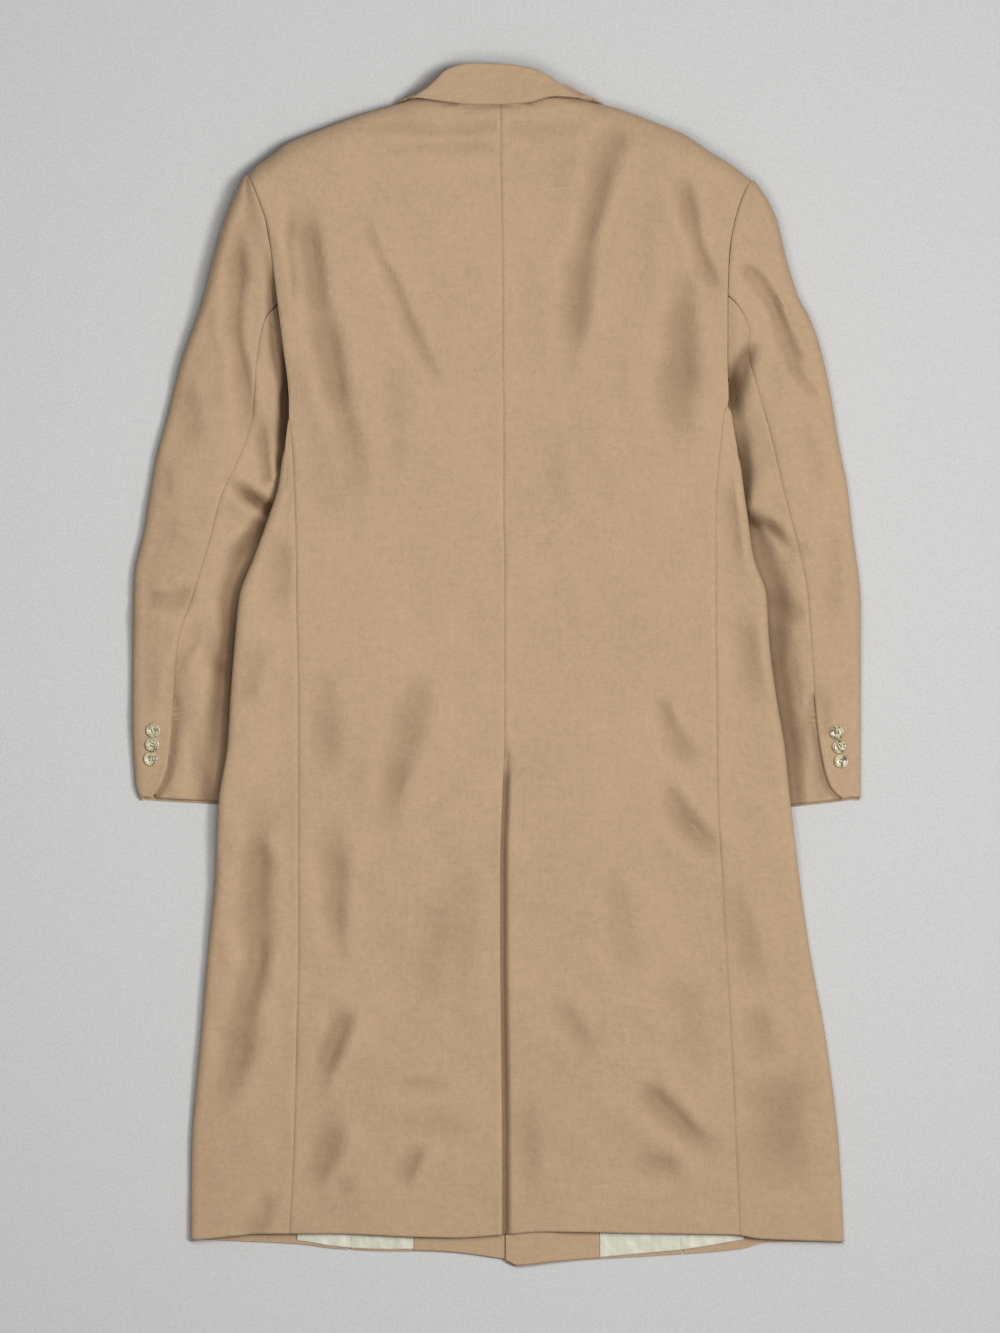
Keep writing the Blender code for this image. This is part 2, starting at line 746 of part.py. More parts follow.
def top_sleeve(side, wool):
    """The outer piece of a sleeve: from the elbow seam round the outer fold to the inseam."""
    seam_share = (side.elbow_top - side.cuff) / (side.crown - side.cuff)
    underarm_share = (side.underarm - 2 - side.cuff_inner) / (side.crown - side.cuff_inner)

    def first_line(y):
        return np.where(y < side.elbow_top, side.elbow(y), side.armhole(y) + ARMHOLE_SEAM * side.out)

    def last_line(y):
        below = side.inseam(y) + HIDDEN_SEAM * side.out
        above = side.front_armhole(y) + ARMHOLE_SEAM * side.out
        return mix(below, above, ease(side.underarm - 2, side.underarm + 14, y))

    def surface(u, v):
        over, turn, under = np.clip(u, 0, 1), np.clip(u - 1, 0, 1), np.clip(u - 2, 0, 1)
        cuff_x = np.where(
            u < 2,
            mix(first_line(side.cuff), side.outer(side.cuff), over),
            mix(side.outer(side.cuff), last_line(side.cuff), under),
        )
        y = mix(sleeve_cuff(side, cuff_x), side.crown - 0.5, v)
        first, outer = first_line(y) + SEAM / 2 * side.out, side.outer(y)
        depth = np.clip((outer - first) * side.out * 0.45, 1.2, SLEEVE_FOLD)
        start = outer - side.out * depth
        base = sleeve_base(side, y)
        fold_x, fold_z = turned(outer, -side.out, depth, sleeve_top(side, start, y), base, turn)
        x = np.where(u < 1, mix(first, start, over), fold_x)
        z = np.where(u < 1, sleeve_top(side, x, y), fold_z)
        x = np.where(u > 2, mix(start, last_line(y), under), x)
        return x, y, np.where(u > 2, base, z)

    columns = lines((0, 1, 4), (1, 2, 4), (2, 3, 5))
    rows = lines(
        (0, VENT_ROWS, 5), (VENT_ROWS, underarm_share, 7), (underarm_share, seam_share, 4),
        (seam_share, 1, 7),
    )
    return cloth("top_sleeve_" + side.name, columns, rows, surface, WOOL, wool)


def under_sleeve(side, wool):
    """The inner piece of a sleeve: from the elbow seam, under the body and round the inner fold."""
    seam_share = (side.elbow_top - side.cuff) / (side.crown - side.cuff)
    underarm_share = (side.underarm - 2 - side.cuff_inner) / (side.crown - side.cuff_inner)

    def bounds(v):
        """Points of the piece's elbow seam and of its inner fold."""
        y_seam = mix(sleeve_cuff(side, side.elbow(side.cuff)), side.crown - 0.5, v * seam_share)
        lap = CUFF_UNDERLAP * (1 - ease(CUFF_VENT_TOP - 19, CUFF_VENT_TOP, y_seam))
        widest = side.outer(y_seam) * side.out - SLEEVE_FOLD - 5
        dipped = 1 - ease(CUFF_VENT_TOP, CUFF_VENT_TOP + CUFF_DIP_END, y_seam)
        seam = side.elbow(y_seam) * side.out - SEAM / 2 - HIDDEN_SEAM * dipped
        x_seam = np.minimum(seam + lap, widest) * side.out
        y_inner = mix(side.cuff_inner, side.underarm - 2, v)
        return x_seam, y_seam, side.inner(y_inner), y_inner

    def surface(u, v):
        over, turn, under = np.clip(u, 0, 1), np.clip(u - 1, 0, 1), np.clip(u - 2, 0, 1)
        x_seam, y_seam, inner, y_inner = bounds(v)
        depth = INNER_FOLD * mix(1, 0.3, ease(0.8, 1, v))
        start = inner + side.out * depth
        y_top = mix(side.elbow_top - 1, side.underarm - 2, over)
        x_top = side.body_edge(y_top) + ARMHOLE_SEAM * side.out
        ends = bounds(np.ones_like(v))
        corner_x = mix(ends[0], ends[2] + side.out * INNER_FOLD * 0.3, over)
        corner_y = mix(ends[1], ends[3], over)
        x = mix(x_seam, start, over) + v * (x_top - corner_x)
        y = mix(y_seam, y_inner, over) + v * (y_top - corner_y)
        dipped = 1 - ease(CUFF_VENT_TOP, CUFF_VENT_TOP + CUFF_DIP_END, y)
        dip = CUFF_DIP * dipped * (1 - ease(3, 14, (side.elbow(y) - x) * side.out))
        z = sleeve_top(side, x, y) - dip
        fold_x, fold_z = turned(
            inner, side.out, depth, sleeve_top(side, start, y_inner), 0.0, turn
        )
        x = np.where(u > 1, fold_x, x)
        y = np.where(u > 1, y_inner, y)
        z = np.where(u > 1, fold_z, z)
        x = np.where(u > 2, mix(start, side.inseam(y_inner), under), x)
        return x, y, np.where(u > 2, 0.0, z)

    columns = lines((0, 1, 6), (1, 2, 3), (2, 3, 1))
    vent_rows, underarm_rows = VENT_ROWS / seam_share, underarm_share / seam_share
    rows = lines((0, vent_rows, 5), (vent_rows, underarm_rows, 7), (underarm_rows, 1, 4))
    return cloth("under_sleeve_" + side.name, columns, rows, surface, WOOL, wool)


def collar(wool):
    """Fall, roll and stand in one folded piece, swept through the collar's stations."""
    count = len(COLLAR)
    tracks = {
        part: [smooth_line(range(count), [getattr(s, part)[k] for s in COLLAR]) for k in range(3)]
        for part in Station._fields
    }

    def surface(u, v):
        fall, top, stand = (
            np.stack([line(v) for line in tracks[part]], axis=-1) for part in Station._fields
        )
        along = top - (fall + stand) / 2
        along /= np.linalg.norm(along, axis=-1, keepdims=True)
        up = fall - stand
        up -= (up * along).sum(axis=-1, keepdims=True) * along
        up /= np.linalg.norm(up, axis=-1, keepdims=True)
        middle = top - along * COLLAR_ROLL
        turn = np.clip((u - 1), 0, 1)[..., None] * math.pi
        rolled = middle + COLLAR_ROLL * (np.cos(turn) * up + np.sin(turn) * along)
        upper = mix(fall, middle + up * COLLAR_ROLL, np.clip(u, 0, 1)[..., None])
        lower = mix(middle - up * COLLAR_ROLL, stand, np.clip(u - 2, 0, 1)[..., None])
        u = u[..., None]
        place = np.where(u < 1, upper, np.where(u > 2, lower, rolled))
        return place[..., 0], place[..., 1], place[..., 2]

    columns, rows = lines((0, 1, 3), (1, 2, 4), (2, 3, 2)), lines((0, count - 1, 22))
    return cloth("collar", columns, rows, surface, WOOL, wool, faces_up=False)


def cuff_button(spot, horn):
    """A sleeve button: a disc with a raised rim, lying on the top sleeve."""
    side, x, y = SIDES[spot.side], spot.x, spot.y
    disc = bmesh.new()
    bmesh.ops.create_cone(
        disc,
        cap_ends=True,
        segments=BUTTON_SIDES,
        radius1=(BUTTON / 2 - BUTTON_BEVEL) * MM,
        radius2=BUTTON / 2 * MM,
        depth=BUTTON_THICK * MM,
    )
    top = max(disc.faces, key=lambda f: f.calc_center_median().z)
    bmesh.ops.inset_region(disc, faces=[top], thickness=BUTTON_RIM * MM)
    bmesh.ops.translate(disc, verts=top.verts[:], vec=(0, 0, -BUTTON_DISH * MM))
    obj = new_object(spot.name, disc, horn)
    reach = BUTTON / 2
    spots = [(x + dx, y + dy) for dx in (-reach, 0, reach) for dy in (-reach, 0, reach)]
    heights = [float(sleeve_top(side, np.array(a), np.array(b))) for a, b in spots]
    lean = math.atan2(heights[7] - heights[1], 2 * reach)
    highest = max(h - math.tan(lean) * (a - x) for h, (a, b) in zip(heights, spots))
    obj.rotation_euler = (0, -lean, 0)
    obj.location = (x * MM, y * MM, (highest + BUTTON_GAP + BUTTON_THICK / 2) * MM)
    return obj


Strip = namedtuple("Strip", "name side first last wall drop satin")
STRIPS = (
    Strip("facing_left", 0, -84.0, FRONT_EDGE - 0.6, FACING, 1.0, False),
    Strip("facing_right", 1, FRONT_EDGE + 0.6, 105.0, FACING, 1.0, False),
    Strip("lining_left", 0, -148.0, -84.6, LINING_CLOTH, 2.0, True),
    Strip("lining_right", 1, 105.6, 188.0, LINING_CLOTH, 3.0, True),
)

Spot = namedtuple("Spot", "name side x y")
BUTTONS = (
    Spot("cuff_button_left_1", 0, -349.5, -66.0),
    Spot("cuff_button_left_2", 0, -350.5, -80.6),
    Spot("cuff_button_left_3", 0, -352.0, -95.2),
    Spot("cuff_button_right_1", 1, 346.5, -68.0),
    Spot("cuff_button_right_2", 1, 349.0, -82.6),
    Spot("cuff_button_right_3", 1, 351.0, -97.2),
)


def main():
    for old in list(bpy.data.objects):
        bpy.data.objects.remove(old)
    coat = bpy.data.collections.new("wool_overcoat")
    bpy.context.scene.collection.children.link(coat)
    wool = material("camel_wool", (0.47, 0.33, 0.21), 0.9)
    satin = material("ivory_satin_lining", (0.62, 0.62, 0.5), 0.45)
    horn = material("horn_button", (0.5, 0.42, 0.32), 0.35)
    for side in SIDES:
        back_panel(side, wool)
        side_panel(side, wool)
        front_panel(side, wool)
        lapel(side, wool)
        top_sleeve(side, wool)
        under_sleeve(side, wool)
    collar(wool)
    for strip in STRIPS:
        hem_strip(strip, satin if strip.satin else wool)
    for spot in BUTTONS:
        cuff_button(spot, horn)


main()
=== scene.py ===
"""The looks of a full-length wool overcoat that lies flat with its back up.

The collar points to +Y, the hem to -Y, and the surface that it lies on is z = 0. Left and right are
the wearer's own. Tables and sizes are in millimetres, as a cutter's are, and meshes are in metres.
"""

import logging
import math
from dataclasses import dataclass
from enum import Enum
from typing import Callable, NamedTuple, Optional, Sequence

import bmesh
import bpy
import numpy as np
from mathutils import Matrix, Vector

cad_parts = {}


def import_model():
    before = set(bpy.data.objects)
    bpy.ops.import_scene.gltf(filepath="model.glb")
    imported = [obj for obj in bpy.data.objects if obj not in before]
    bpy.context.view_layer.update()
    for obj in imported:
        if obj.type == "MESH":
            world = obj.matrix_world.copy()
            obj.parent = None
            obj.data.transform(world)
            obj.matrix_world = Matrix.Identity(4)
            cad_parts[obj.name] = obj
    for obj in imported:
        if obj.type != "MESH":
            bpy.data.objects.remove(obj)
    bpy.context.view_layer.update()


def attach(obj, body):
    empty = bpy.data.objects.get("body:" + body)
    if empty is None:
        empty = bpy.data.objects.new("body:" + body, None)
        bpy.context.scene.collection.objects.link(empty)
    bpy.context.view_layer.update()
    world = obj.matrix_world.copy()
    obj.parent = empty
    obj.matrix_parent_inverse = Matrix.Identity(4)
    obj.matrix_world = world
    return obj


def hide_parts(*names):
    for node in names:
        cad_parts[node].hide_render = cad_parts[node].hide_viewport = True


LOG = logging.getLogger("wool_overcoat")
MM = 0.001
TINY = 1e-6

Array = np.ndarray
Pair = tuple[float, float]
Triple = tuple[float, float, float]
Colour = Triple
Places = tuple[Array, Array, Array]
Surface = Callable[[Array, Array], Places]
Object = bpy.types.Object
Material = bpy.types.Material
Socket = bpy.types.NodeSocket
Shape = bmesh.types.BMesh


# ---------------------------------------------------------------- small maths


def mix(a: Array, b: Array, t: Array) -> Array:
    """The value a share t of the way from a to b."""
    return a + (b - a) * t


def ease(low: float, high: float, x: Array) -> Array:
    """0 below low, 1 above high and smooth between.

    Args:
        low: where the rise starts.
        high: where it ends, above low.
        x: the places.

    Returns:
        The share at each place.
    """
    t = np.clip((x - low) / (high - low), 0, 1)
    return t * t * (3 - 2 * t)


def quarter_round(distance: Array, radius: float) -> Array:
    """How far a rounded edge has risen: 0 at the edge, 1 at its radius and beyond."""
    t = np.clip(distance / radius, 0, 1)
    return np.sqrt(1 - (1 - t) ** 2)


def bell(distance: Array, width: float) -> Array:
    """1 at no distance, falling smoothly to 0 over a few widths."""
    return np.exp(-((distance / width) ** 2))


class Track:
    """A value that runs smoothly through the rows of a table and doesn't overshoot them."""

    def __init__(self, places: Sequence[float], values: Sequence[float]) -> None:
        """Works out the slope at each row.

        Args:
            places: where the rows stand, rising.
            values: the value at each row.
        """
        self.places = np.asarray(places, float)
        self.values = np.asarray(values, float)
        self.runs = np.diff(self.places)
        self.slopes = np.diff(self.values) / self.runs
        before, after = self.slopes[:-1], self.slopes[1:]
        turning = before * after <= 0
        total = np.where(turning, 1.0, before + after)
        inner = np.where(turning, 0.0, 2 * before * after / total)
        self.bends = np.concatenate([self.slopes[:1], inner, self.slopes[-1:]])

    def __call__(self, place: Array) -> Array:
        """The value at each place, held beyond the first and the last row."""
        place = np.clip(place, self.places[0], self.places[-1])
        row = np.searchsorted(self.places, place, side="right") - 1
        row = np.clip(row, 0, len(self.runs) - 1)
        run, slope = self.runs[row], self.slopes[row]
        t = (place - self.places[row]) / run
        lean_in = run * (self.bends[row] - slope)
        lean_out = run * (self.bends[row + 1] - slope)
        straight = self.values[row] + t * run * slope
        return straight + t * (1 - t) * ((1 - t) * lean_in - t * lean_out)


def column(rows: Sequence[NamedTuple], name: str, along: str = "y") -> Track:
    """One column of a table as a smooth function of another.

    Args:
        rows: the table.
        name: the column that is read.
        along: the column that it runs along.

    Returns:
        The track.
    """
    return Track([getattr(r, along) for r in rows], [getattr(r, name) for r in rows])


def table(kind: Callable[..., object], *rows: tuple) -> tuple:
    """The rows of a table, each made from its values."""
    return tuple(kind(*row) for row in rows)


# ---------------------------------------------------------------- the coat's lines


class BodyRow(NamedTuple):
    """A level of the body: x of its side folds, side seams and centre, and heights."""

    y: float
    left_edge: float
    left_seam: float
    centre: float
    right_seam: float
    right_edge: float
    z_centre: float
    z_seam: float
    z_edge: float


class ArmholeRow(NamedTuple):
    """A level of an armhole: x on the back and on the front."""

    y: float
    back: float
    front: float


class LineRow(NamedTuple):
    """A level of a line that runs up the coat."""

    y: float
    x: float


class LoftRow(NamedTuple):
    """A level of a sleeve: its height in the middle, and where the body meets it."""

    y: float
    outer: float
    inner: float


class EdgeRow(NamedTuple):
    """A point of an edge that runs across the coat."""

    x: float
    y: float


class RollRow(NamedTuple):
    """A level of the fronts' edges and the lapels' outer edges."""

    y: float
    left: float
    right: float
    lapel_left: float
    lapel_right: float


class Station(NamedTuple):
    """A place round the collar: the fall's edge, the top of the roll and the stand's edge."""

    fall: Triple
    roll: Triple
    stand: Triple


BODY = table(
    BodyRow,
    (-590, -312, -212, 6, 248, 354, 14.5, 13.5, 12.5),
    (-494, -311, -207, 6, 244, 349, 15.0, 14.0, 13.0),
    (-384, -302, -204, 5, 239, 336, 14.5, 15.0, 13.5),
    (-290, -294, -202, 4, 234, 319, 15.0, 16.0, 14.5),
    (-205, -286, -202, 4, 229, 307, 15.5, 18.0, 17.5),
    (-138, -283, -202, 6, 225, 299, 16.0, 20.5, 21.5),
    (-81, -274, -202, 8, 224, 293, 17.0, 21.5, 22.0),
    (-33, -271, -202, 8, 224, 285, 17.5, 22.0, 22.5),
    (31, -266, -203, 8, 223, 277, 17.5, 22.5, 22.5),
    (70, -262, -204, 8, 223, 275, 18.0, 22.5, 22.5),
    (113, -246, -204, 8, 223, 261, 18.0, 23.0, 22.0),
    (149, -233, -205, 7, 223, 256, 18.5, 23.0, 22.0),
    (184, -222, -206, 7, 224, 251, 19.0, 23.0, 21.0),
    (225, -217, -208, 7, 228, 246, 20.0, 23.5, 19.5),
    (263, -214, -210, 7, 232, 240, 21.0, 24.5, 19.5),
    (311, -212, -211, 6, 235, 236, 22.0, 27.5, 24.0),
    (347, -212, -211, 6, 235, 236, 23.5, 31.5, 30.0),
    (400, -212, -211, 6, 235, 236, 26.0, 36.5, 36.0),
    (450, -212, -211, 5, 235, 236, 28.5, 40.0, 40.0),
    (520, -212, -211, 4, 235, 236, 31.5, 42.0, 42.0),
    (580, -212, -211, 4, 235, 236, 33.0, 42.0, 42.0),
)
LEFT_ARMHOLE = table(
    ArmholeRow,
    (230, -215, -215), (245, -213, -203), (263, -211, -194), (284, -212, -190), (317, -216, -191),
    (373, -223, -200), (423, -229, -218), (452, -234, -232), (469, -240, -239), (485, -246, -246),
    (499, -253, -253),
)
RIGHT_ARMHOLE = table(
    ArmholeRow,
    (224, 245, 245), (240, 242, 231), (259, 239, 222), (276, 236, 218), (313, 235, 214),
    (374, 235, 218), (406, 236, 226), (432, 238, 233), (448, 241, 239), (466, 246, 246),
    (482, 252, 252), (494, 259, 259),
)
LEFT_FRONT_SEAM = table(LineRow, (-600, -150), (60, -150), (200, -168), (284, -190))
RIGHT_FRONT_SEAM = table(LineRow, (-600, 190), (60, 162), (200, 190), (276, 218))
LEFT_OUTER = table(
    LineRow,
    (-134, -364), (-120, -368), (-50, -371), (50, -370), (90, -369), (138, -359), (205, -348),
    (251, -336), (310, -321), (373, -299), (413, -289), (450, -278), (485, -264), (499, -256),
)
LEFT_ELBOW = table(
    LineRow,
    (-133, -350), (-127, -345), (-117, -340), (-99, -335), (-50, -330), (0, -327), (27, -324),
    (70, -310), (129, -292), (171, -281), (203, -266), (224, -257), (247, -250), (312, -244),
    (338, -240), (353, -235), (368, -224),
)
LEFT_INSEAM = table(LineRow, (-142, -240), (0, -215), (120, -200), (200, -207), (228, -222))
LEFT_INNER = table(
    LineRow,
    (-142, -212), (-100, -207), (-50, -194), (50, -175), (108, -166), (160, -164), (185, -172),
    (210, -190), (230, -214),
)
RIGHT_OUTER = table(
    LineRow,
    (-134, 371), (-27, 371), (61, 371), (90, 369), (133, 363), (184, 357), (224, 349), (273, 341),
    (326, 329), (356, 318), (374, 308), (415, 295), (452, 286), (469, 279), (482, 271), (494, 262),
)
RIGHT_ELBOW = table(
    LineRow,
    (-134, 351), (-130, 345), (-119, 338), (-97, 332), (-57, 326), (39, 319), (76, 316), (108, 310),
    (178, 292), (229, 280), (280, 266), (300, 260), (320, 256), (340, 257), (353, 253), (364, 247),
    (376, 236),
)
RIGHT_INSEAM = table(LineRow, (-150, 247), (0, 218), (120, 206), (195, 226), (222, 252))
RIGHT_INNER = table(
    LineRow,
    (-150, 219), (-100, 213), (-50, 196), (50, 176), (108, 169), (150, 169), (180, 184), (205, 212),
    (224, 244),
)
LOFT = table(
    LoftRow,
    (-145, 10.8, 10.2), (-100, 13.0, 10.4), (0, 15.5, 10.6), (100, 17.0, 10.6), (166, 17.5, 9.8),
    (204, 18.0, 8.4), (230, 18.5, 6.8), (250, 19.0, 9.0), (284, 21.0, 16.0), (317, 23.0, 24.0),
    (347, 26.0, 30.0), (400, 31.0, 36.0), (450, 34.0, 39.5), (499, 35.0, 41.0),
)
SHOULDERS = table(
    EdgeRow,
    (-253, 499), (-242, 510), (-229, 519), (-214, 531), (-190, 541), (-136, 561), (-105, 570),
    (-93, 573.5), (-84, 577.5), (-76, 578.5), (-52, 576.5), (6, 578), (57, 577), (77, 581),
    (87, 578.5), (97, 572.5), (116, 569), (166, 551), (192, 540), (217, 523), (234, 513),
    (259, 494),
)
BACK_HEM = table(
    EdgeRow,
    (-312, -585), (-234, -579), (-168, -579), (-84, -582), (-40, -583), (6, -580), (48, -577),
    (165, -579), (243, -580), (269, -584), (354, -587),
)
FRONT_HEM = table(
    EdgeRow,
    (-312, -585), (-200, -590), (-168, -594), (-107, -597), (-84, -597), (7, -606), (12, -608),
    (20, -612), (61, -608), (105, -605), (217, -598), (256, -594), (278, -588), (354, -587),
)
ROLL = table(
    RollRow,
    (180, 8, 12, 2, 16), (250, -4, 20, -24, 38), (330, -20, 35, -60, 74), (400, -36, 51, -96, 110),
    (448, -56, 70, -128, 142), (468, -64, 78, -120, 132), (515, -80, 92, -120, 132),
    (556, -100, 110, -120, 130), (575, -106, 116, -120, 130),
)
COLLAR = table(
    Station,
    ((-112, 456, 0.0), (-46, 470, 3.0), (-56, 468, 6.0)),
    ((-121, 505, 0.0), (-57, 518, 3.0), (-72, 515, 6.0)),
    ((-116, 545, 0.0), (-66, 554, 4.0), (-82, 551, 8.0)),
    ((-107, 566, 3.0), (-67, 571, 9.0), (-84, 565, 13.0)),
    ((-95, 577, 17.0), (-67, 583, 21.0), (-84, 577, 19.0)),
    ((-83, 577, 34.0), (-62, 594, 31.0), (-77, 581, 25.5)),
    ((-54, 573, 37.0), (-50, 606, 34.5), (-52, 580, 30.4)),
    ((-25, 570, 37.0), (-25, 612.5, 34.5), (-25, 579, 30.4)),
    ((2, 570, 37.0), (6, 611.5, 34.5), (6, 580, 30.4)),
    ((30, 572, 37.0), (37, 607, 34.5), (35, 579, 30.4)),
    ((58, 578, 37.0), (61, 594, 34.0), (60, 580.5, 29.5)),
    ((85, 576.5, 34.5), (66, 590.5, 31.0), (80, 581.5, 25.5)),
    ((103, 575.5, 17.0), (78, 580.5, 21.0), (91, 576.5, 19.0)),
    ((117, 563, 3.0), (78, 569, 9.0), (93, 562, 13.0)),
    ((127, 542, 0.0), (76, 552, 4.0), (91, 548, 8.0)),
    ((132, 502, 0.0), (70, 514, 3.0), (84, 511, 6.0)),
    ((124, 452, 0.0), (60, 466, 3.0), (70, 464, 6.0)),
)


# ---------------------------------------------------------------- creases

# In widths of a crease: how far it is felt, and where its lips stand and how wide they are.
REACH = 3.5
LIP_AT = 1.75
LIP_WIDTH = 0.85
# The depth at which the shade painted into a crease is at its darkest.
FULL_SHADE_DEPTH = 6


@dataclass(frozen=True)
class Crease:
    """A soft trough in cloth, or a ridge where depth is under 0, with a lip on either side.

    line gives its points. lips are the heights beside it, as shares of the depth, on the left and
    on the right of the line's direction. fade is the share of its length that each end takes to
    die away.
    """

    line: tuple[Pair, ...]
    width: float
    depth: float
    lips: Pair = (0.25, 0.25)
    fade: Pair = (0.35, 0.35)
    skew: float = 0.25
    # How much shade the crease paints into the cloth's colour at full depth.
    dark: float = 0.33

    def paints_shade(self, x: Array, y: Array) -> Array:
        """How much shade the crease paints into the cloth's colour, from 0 to its own darkness."""
        return self.dark * np.clip(self.lowers(x, y) / FULL_SHADE_DEPTH, 0, 1)

    def lowers(self, x: Array, y: Array) -> Array:
        """How far the crease lowers the cloth.

        Args:
            x: places across the coat.
            y: places along the coat.

        Returns:
            The drop at each place.
        """
        corners = np.array(self.line, float)
        run = np.concatenate([[0.0], np.cumsum(np.hypot(*np.diff(corners, axis=0).T))])
        fine = np.linspace(0, run[-1], max(14, int(run[-1] / 4)))
        path = np.stack([Track(run, corners[:, k])(fine) for k in (0, 1)], axis=-1)
        heading = np.gradient(path, axis=0)
        heading /= np.linalg.norm(heading, axis=1, keepdims=True)
        reach = REACH * self.width
        low, high = path.min(axis=0) - reach, path.max(axis=0) + reach
        near = (x > low[0]) & (x < high[0]) & (y > low[1]) & (y < high[1])
        drop = np.zeros_like(x)
        if not near.any():
            return drop
        dx = x[near][:, None] - path[:, 0]
        dy = y[near][:, None] - path[:, 1]
        nearest = (dx**2 + dy**2).argmin(axis=1)
        picked = np.arange(len(nearest)), nearest
        ahead = heading[nearest]
        along = dx[picked] * ahead[:, 0] + dy[picked] * ahead[:, 1]
        left = -dx[picked] * ahead[:, 1] + dy[picked] * ahead[:, 0]
        share = (nearest + along / (fine[1] - fine[0])) / (len(fine) - 1)
        keep = ease(0, self.fade[0], share) * (1 - ease(1 - self.fade[1], 1, share))
        far = share * run[-1] + 3 * corners[0, 0]
        uneven = 1 + 0.13 * np.sin(far / 17.7) + 0.08 * np.sin(far / 7.9 + 1)
        wide = self.width * (1 + 0.16 * np.sin(far / 23.1 + 2) + 0.08 * np.sin(far / 9.3))
        s = (left + 1.2 * np.sin(far / 16.3)) / wide
        s = s * np.where(s > 0, 1 + self.skew, 1 - self.skew)
        shape = bell(s, 1.0)
        shape -= self.lips[0] * bell(s - LIP_AT, LIP_WIDTH)
        shape -= self.lips[1] * bell(s + LIP_AT, LIP_WIDTH)
        drop[near] = self.depth * keep * uneven * shape
        return drop


@dataclass(frozen=True)
class Drift:
    """The gentle unevenness of cloth that nobody has ironed, as waves in many directions."""

    height: float
    shortest: float
    longest: float
    seed: int
    count: int = 9

    def raises(self, x: Array, y: Array) -> Array:
        """The height added at each place.

        Args:
            x: places across the cloth.
            y: places along the cloth.

        Returns:
            The heights, within about twice the drift's own.
        """
        chance = np.random.default_rng(self.seed)
        total = np.zeros_like(x)
        for _ in range(self.count):
            heading, start, other = chance.uniform(0, 2 * math.pi, 3)
            length = chance.uniform(self.shortest, self.longest)
            ahead = (x * math.cos(heading) + y * math.sin(heading)) / length
            beside = (y * math.cos(heading) - x * math.sin(heading)) / (2.3 * length)
            wave = np.sin(2 * math.pi * ahead + start) * np.cos(2 * math.pi * beside + other)
            total = total + wave
        return self.height * total / math.sqrt(self.count)


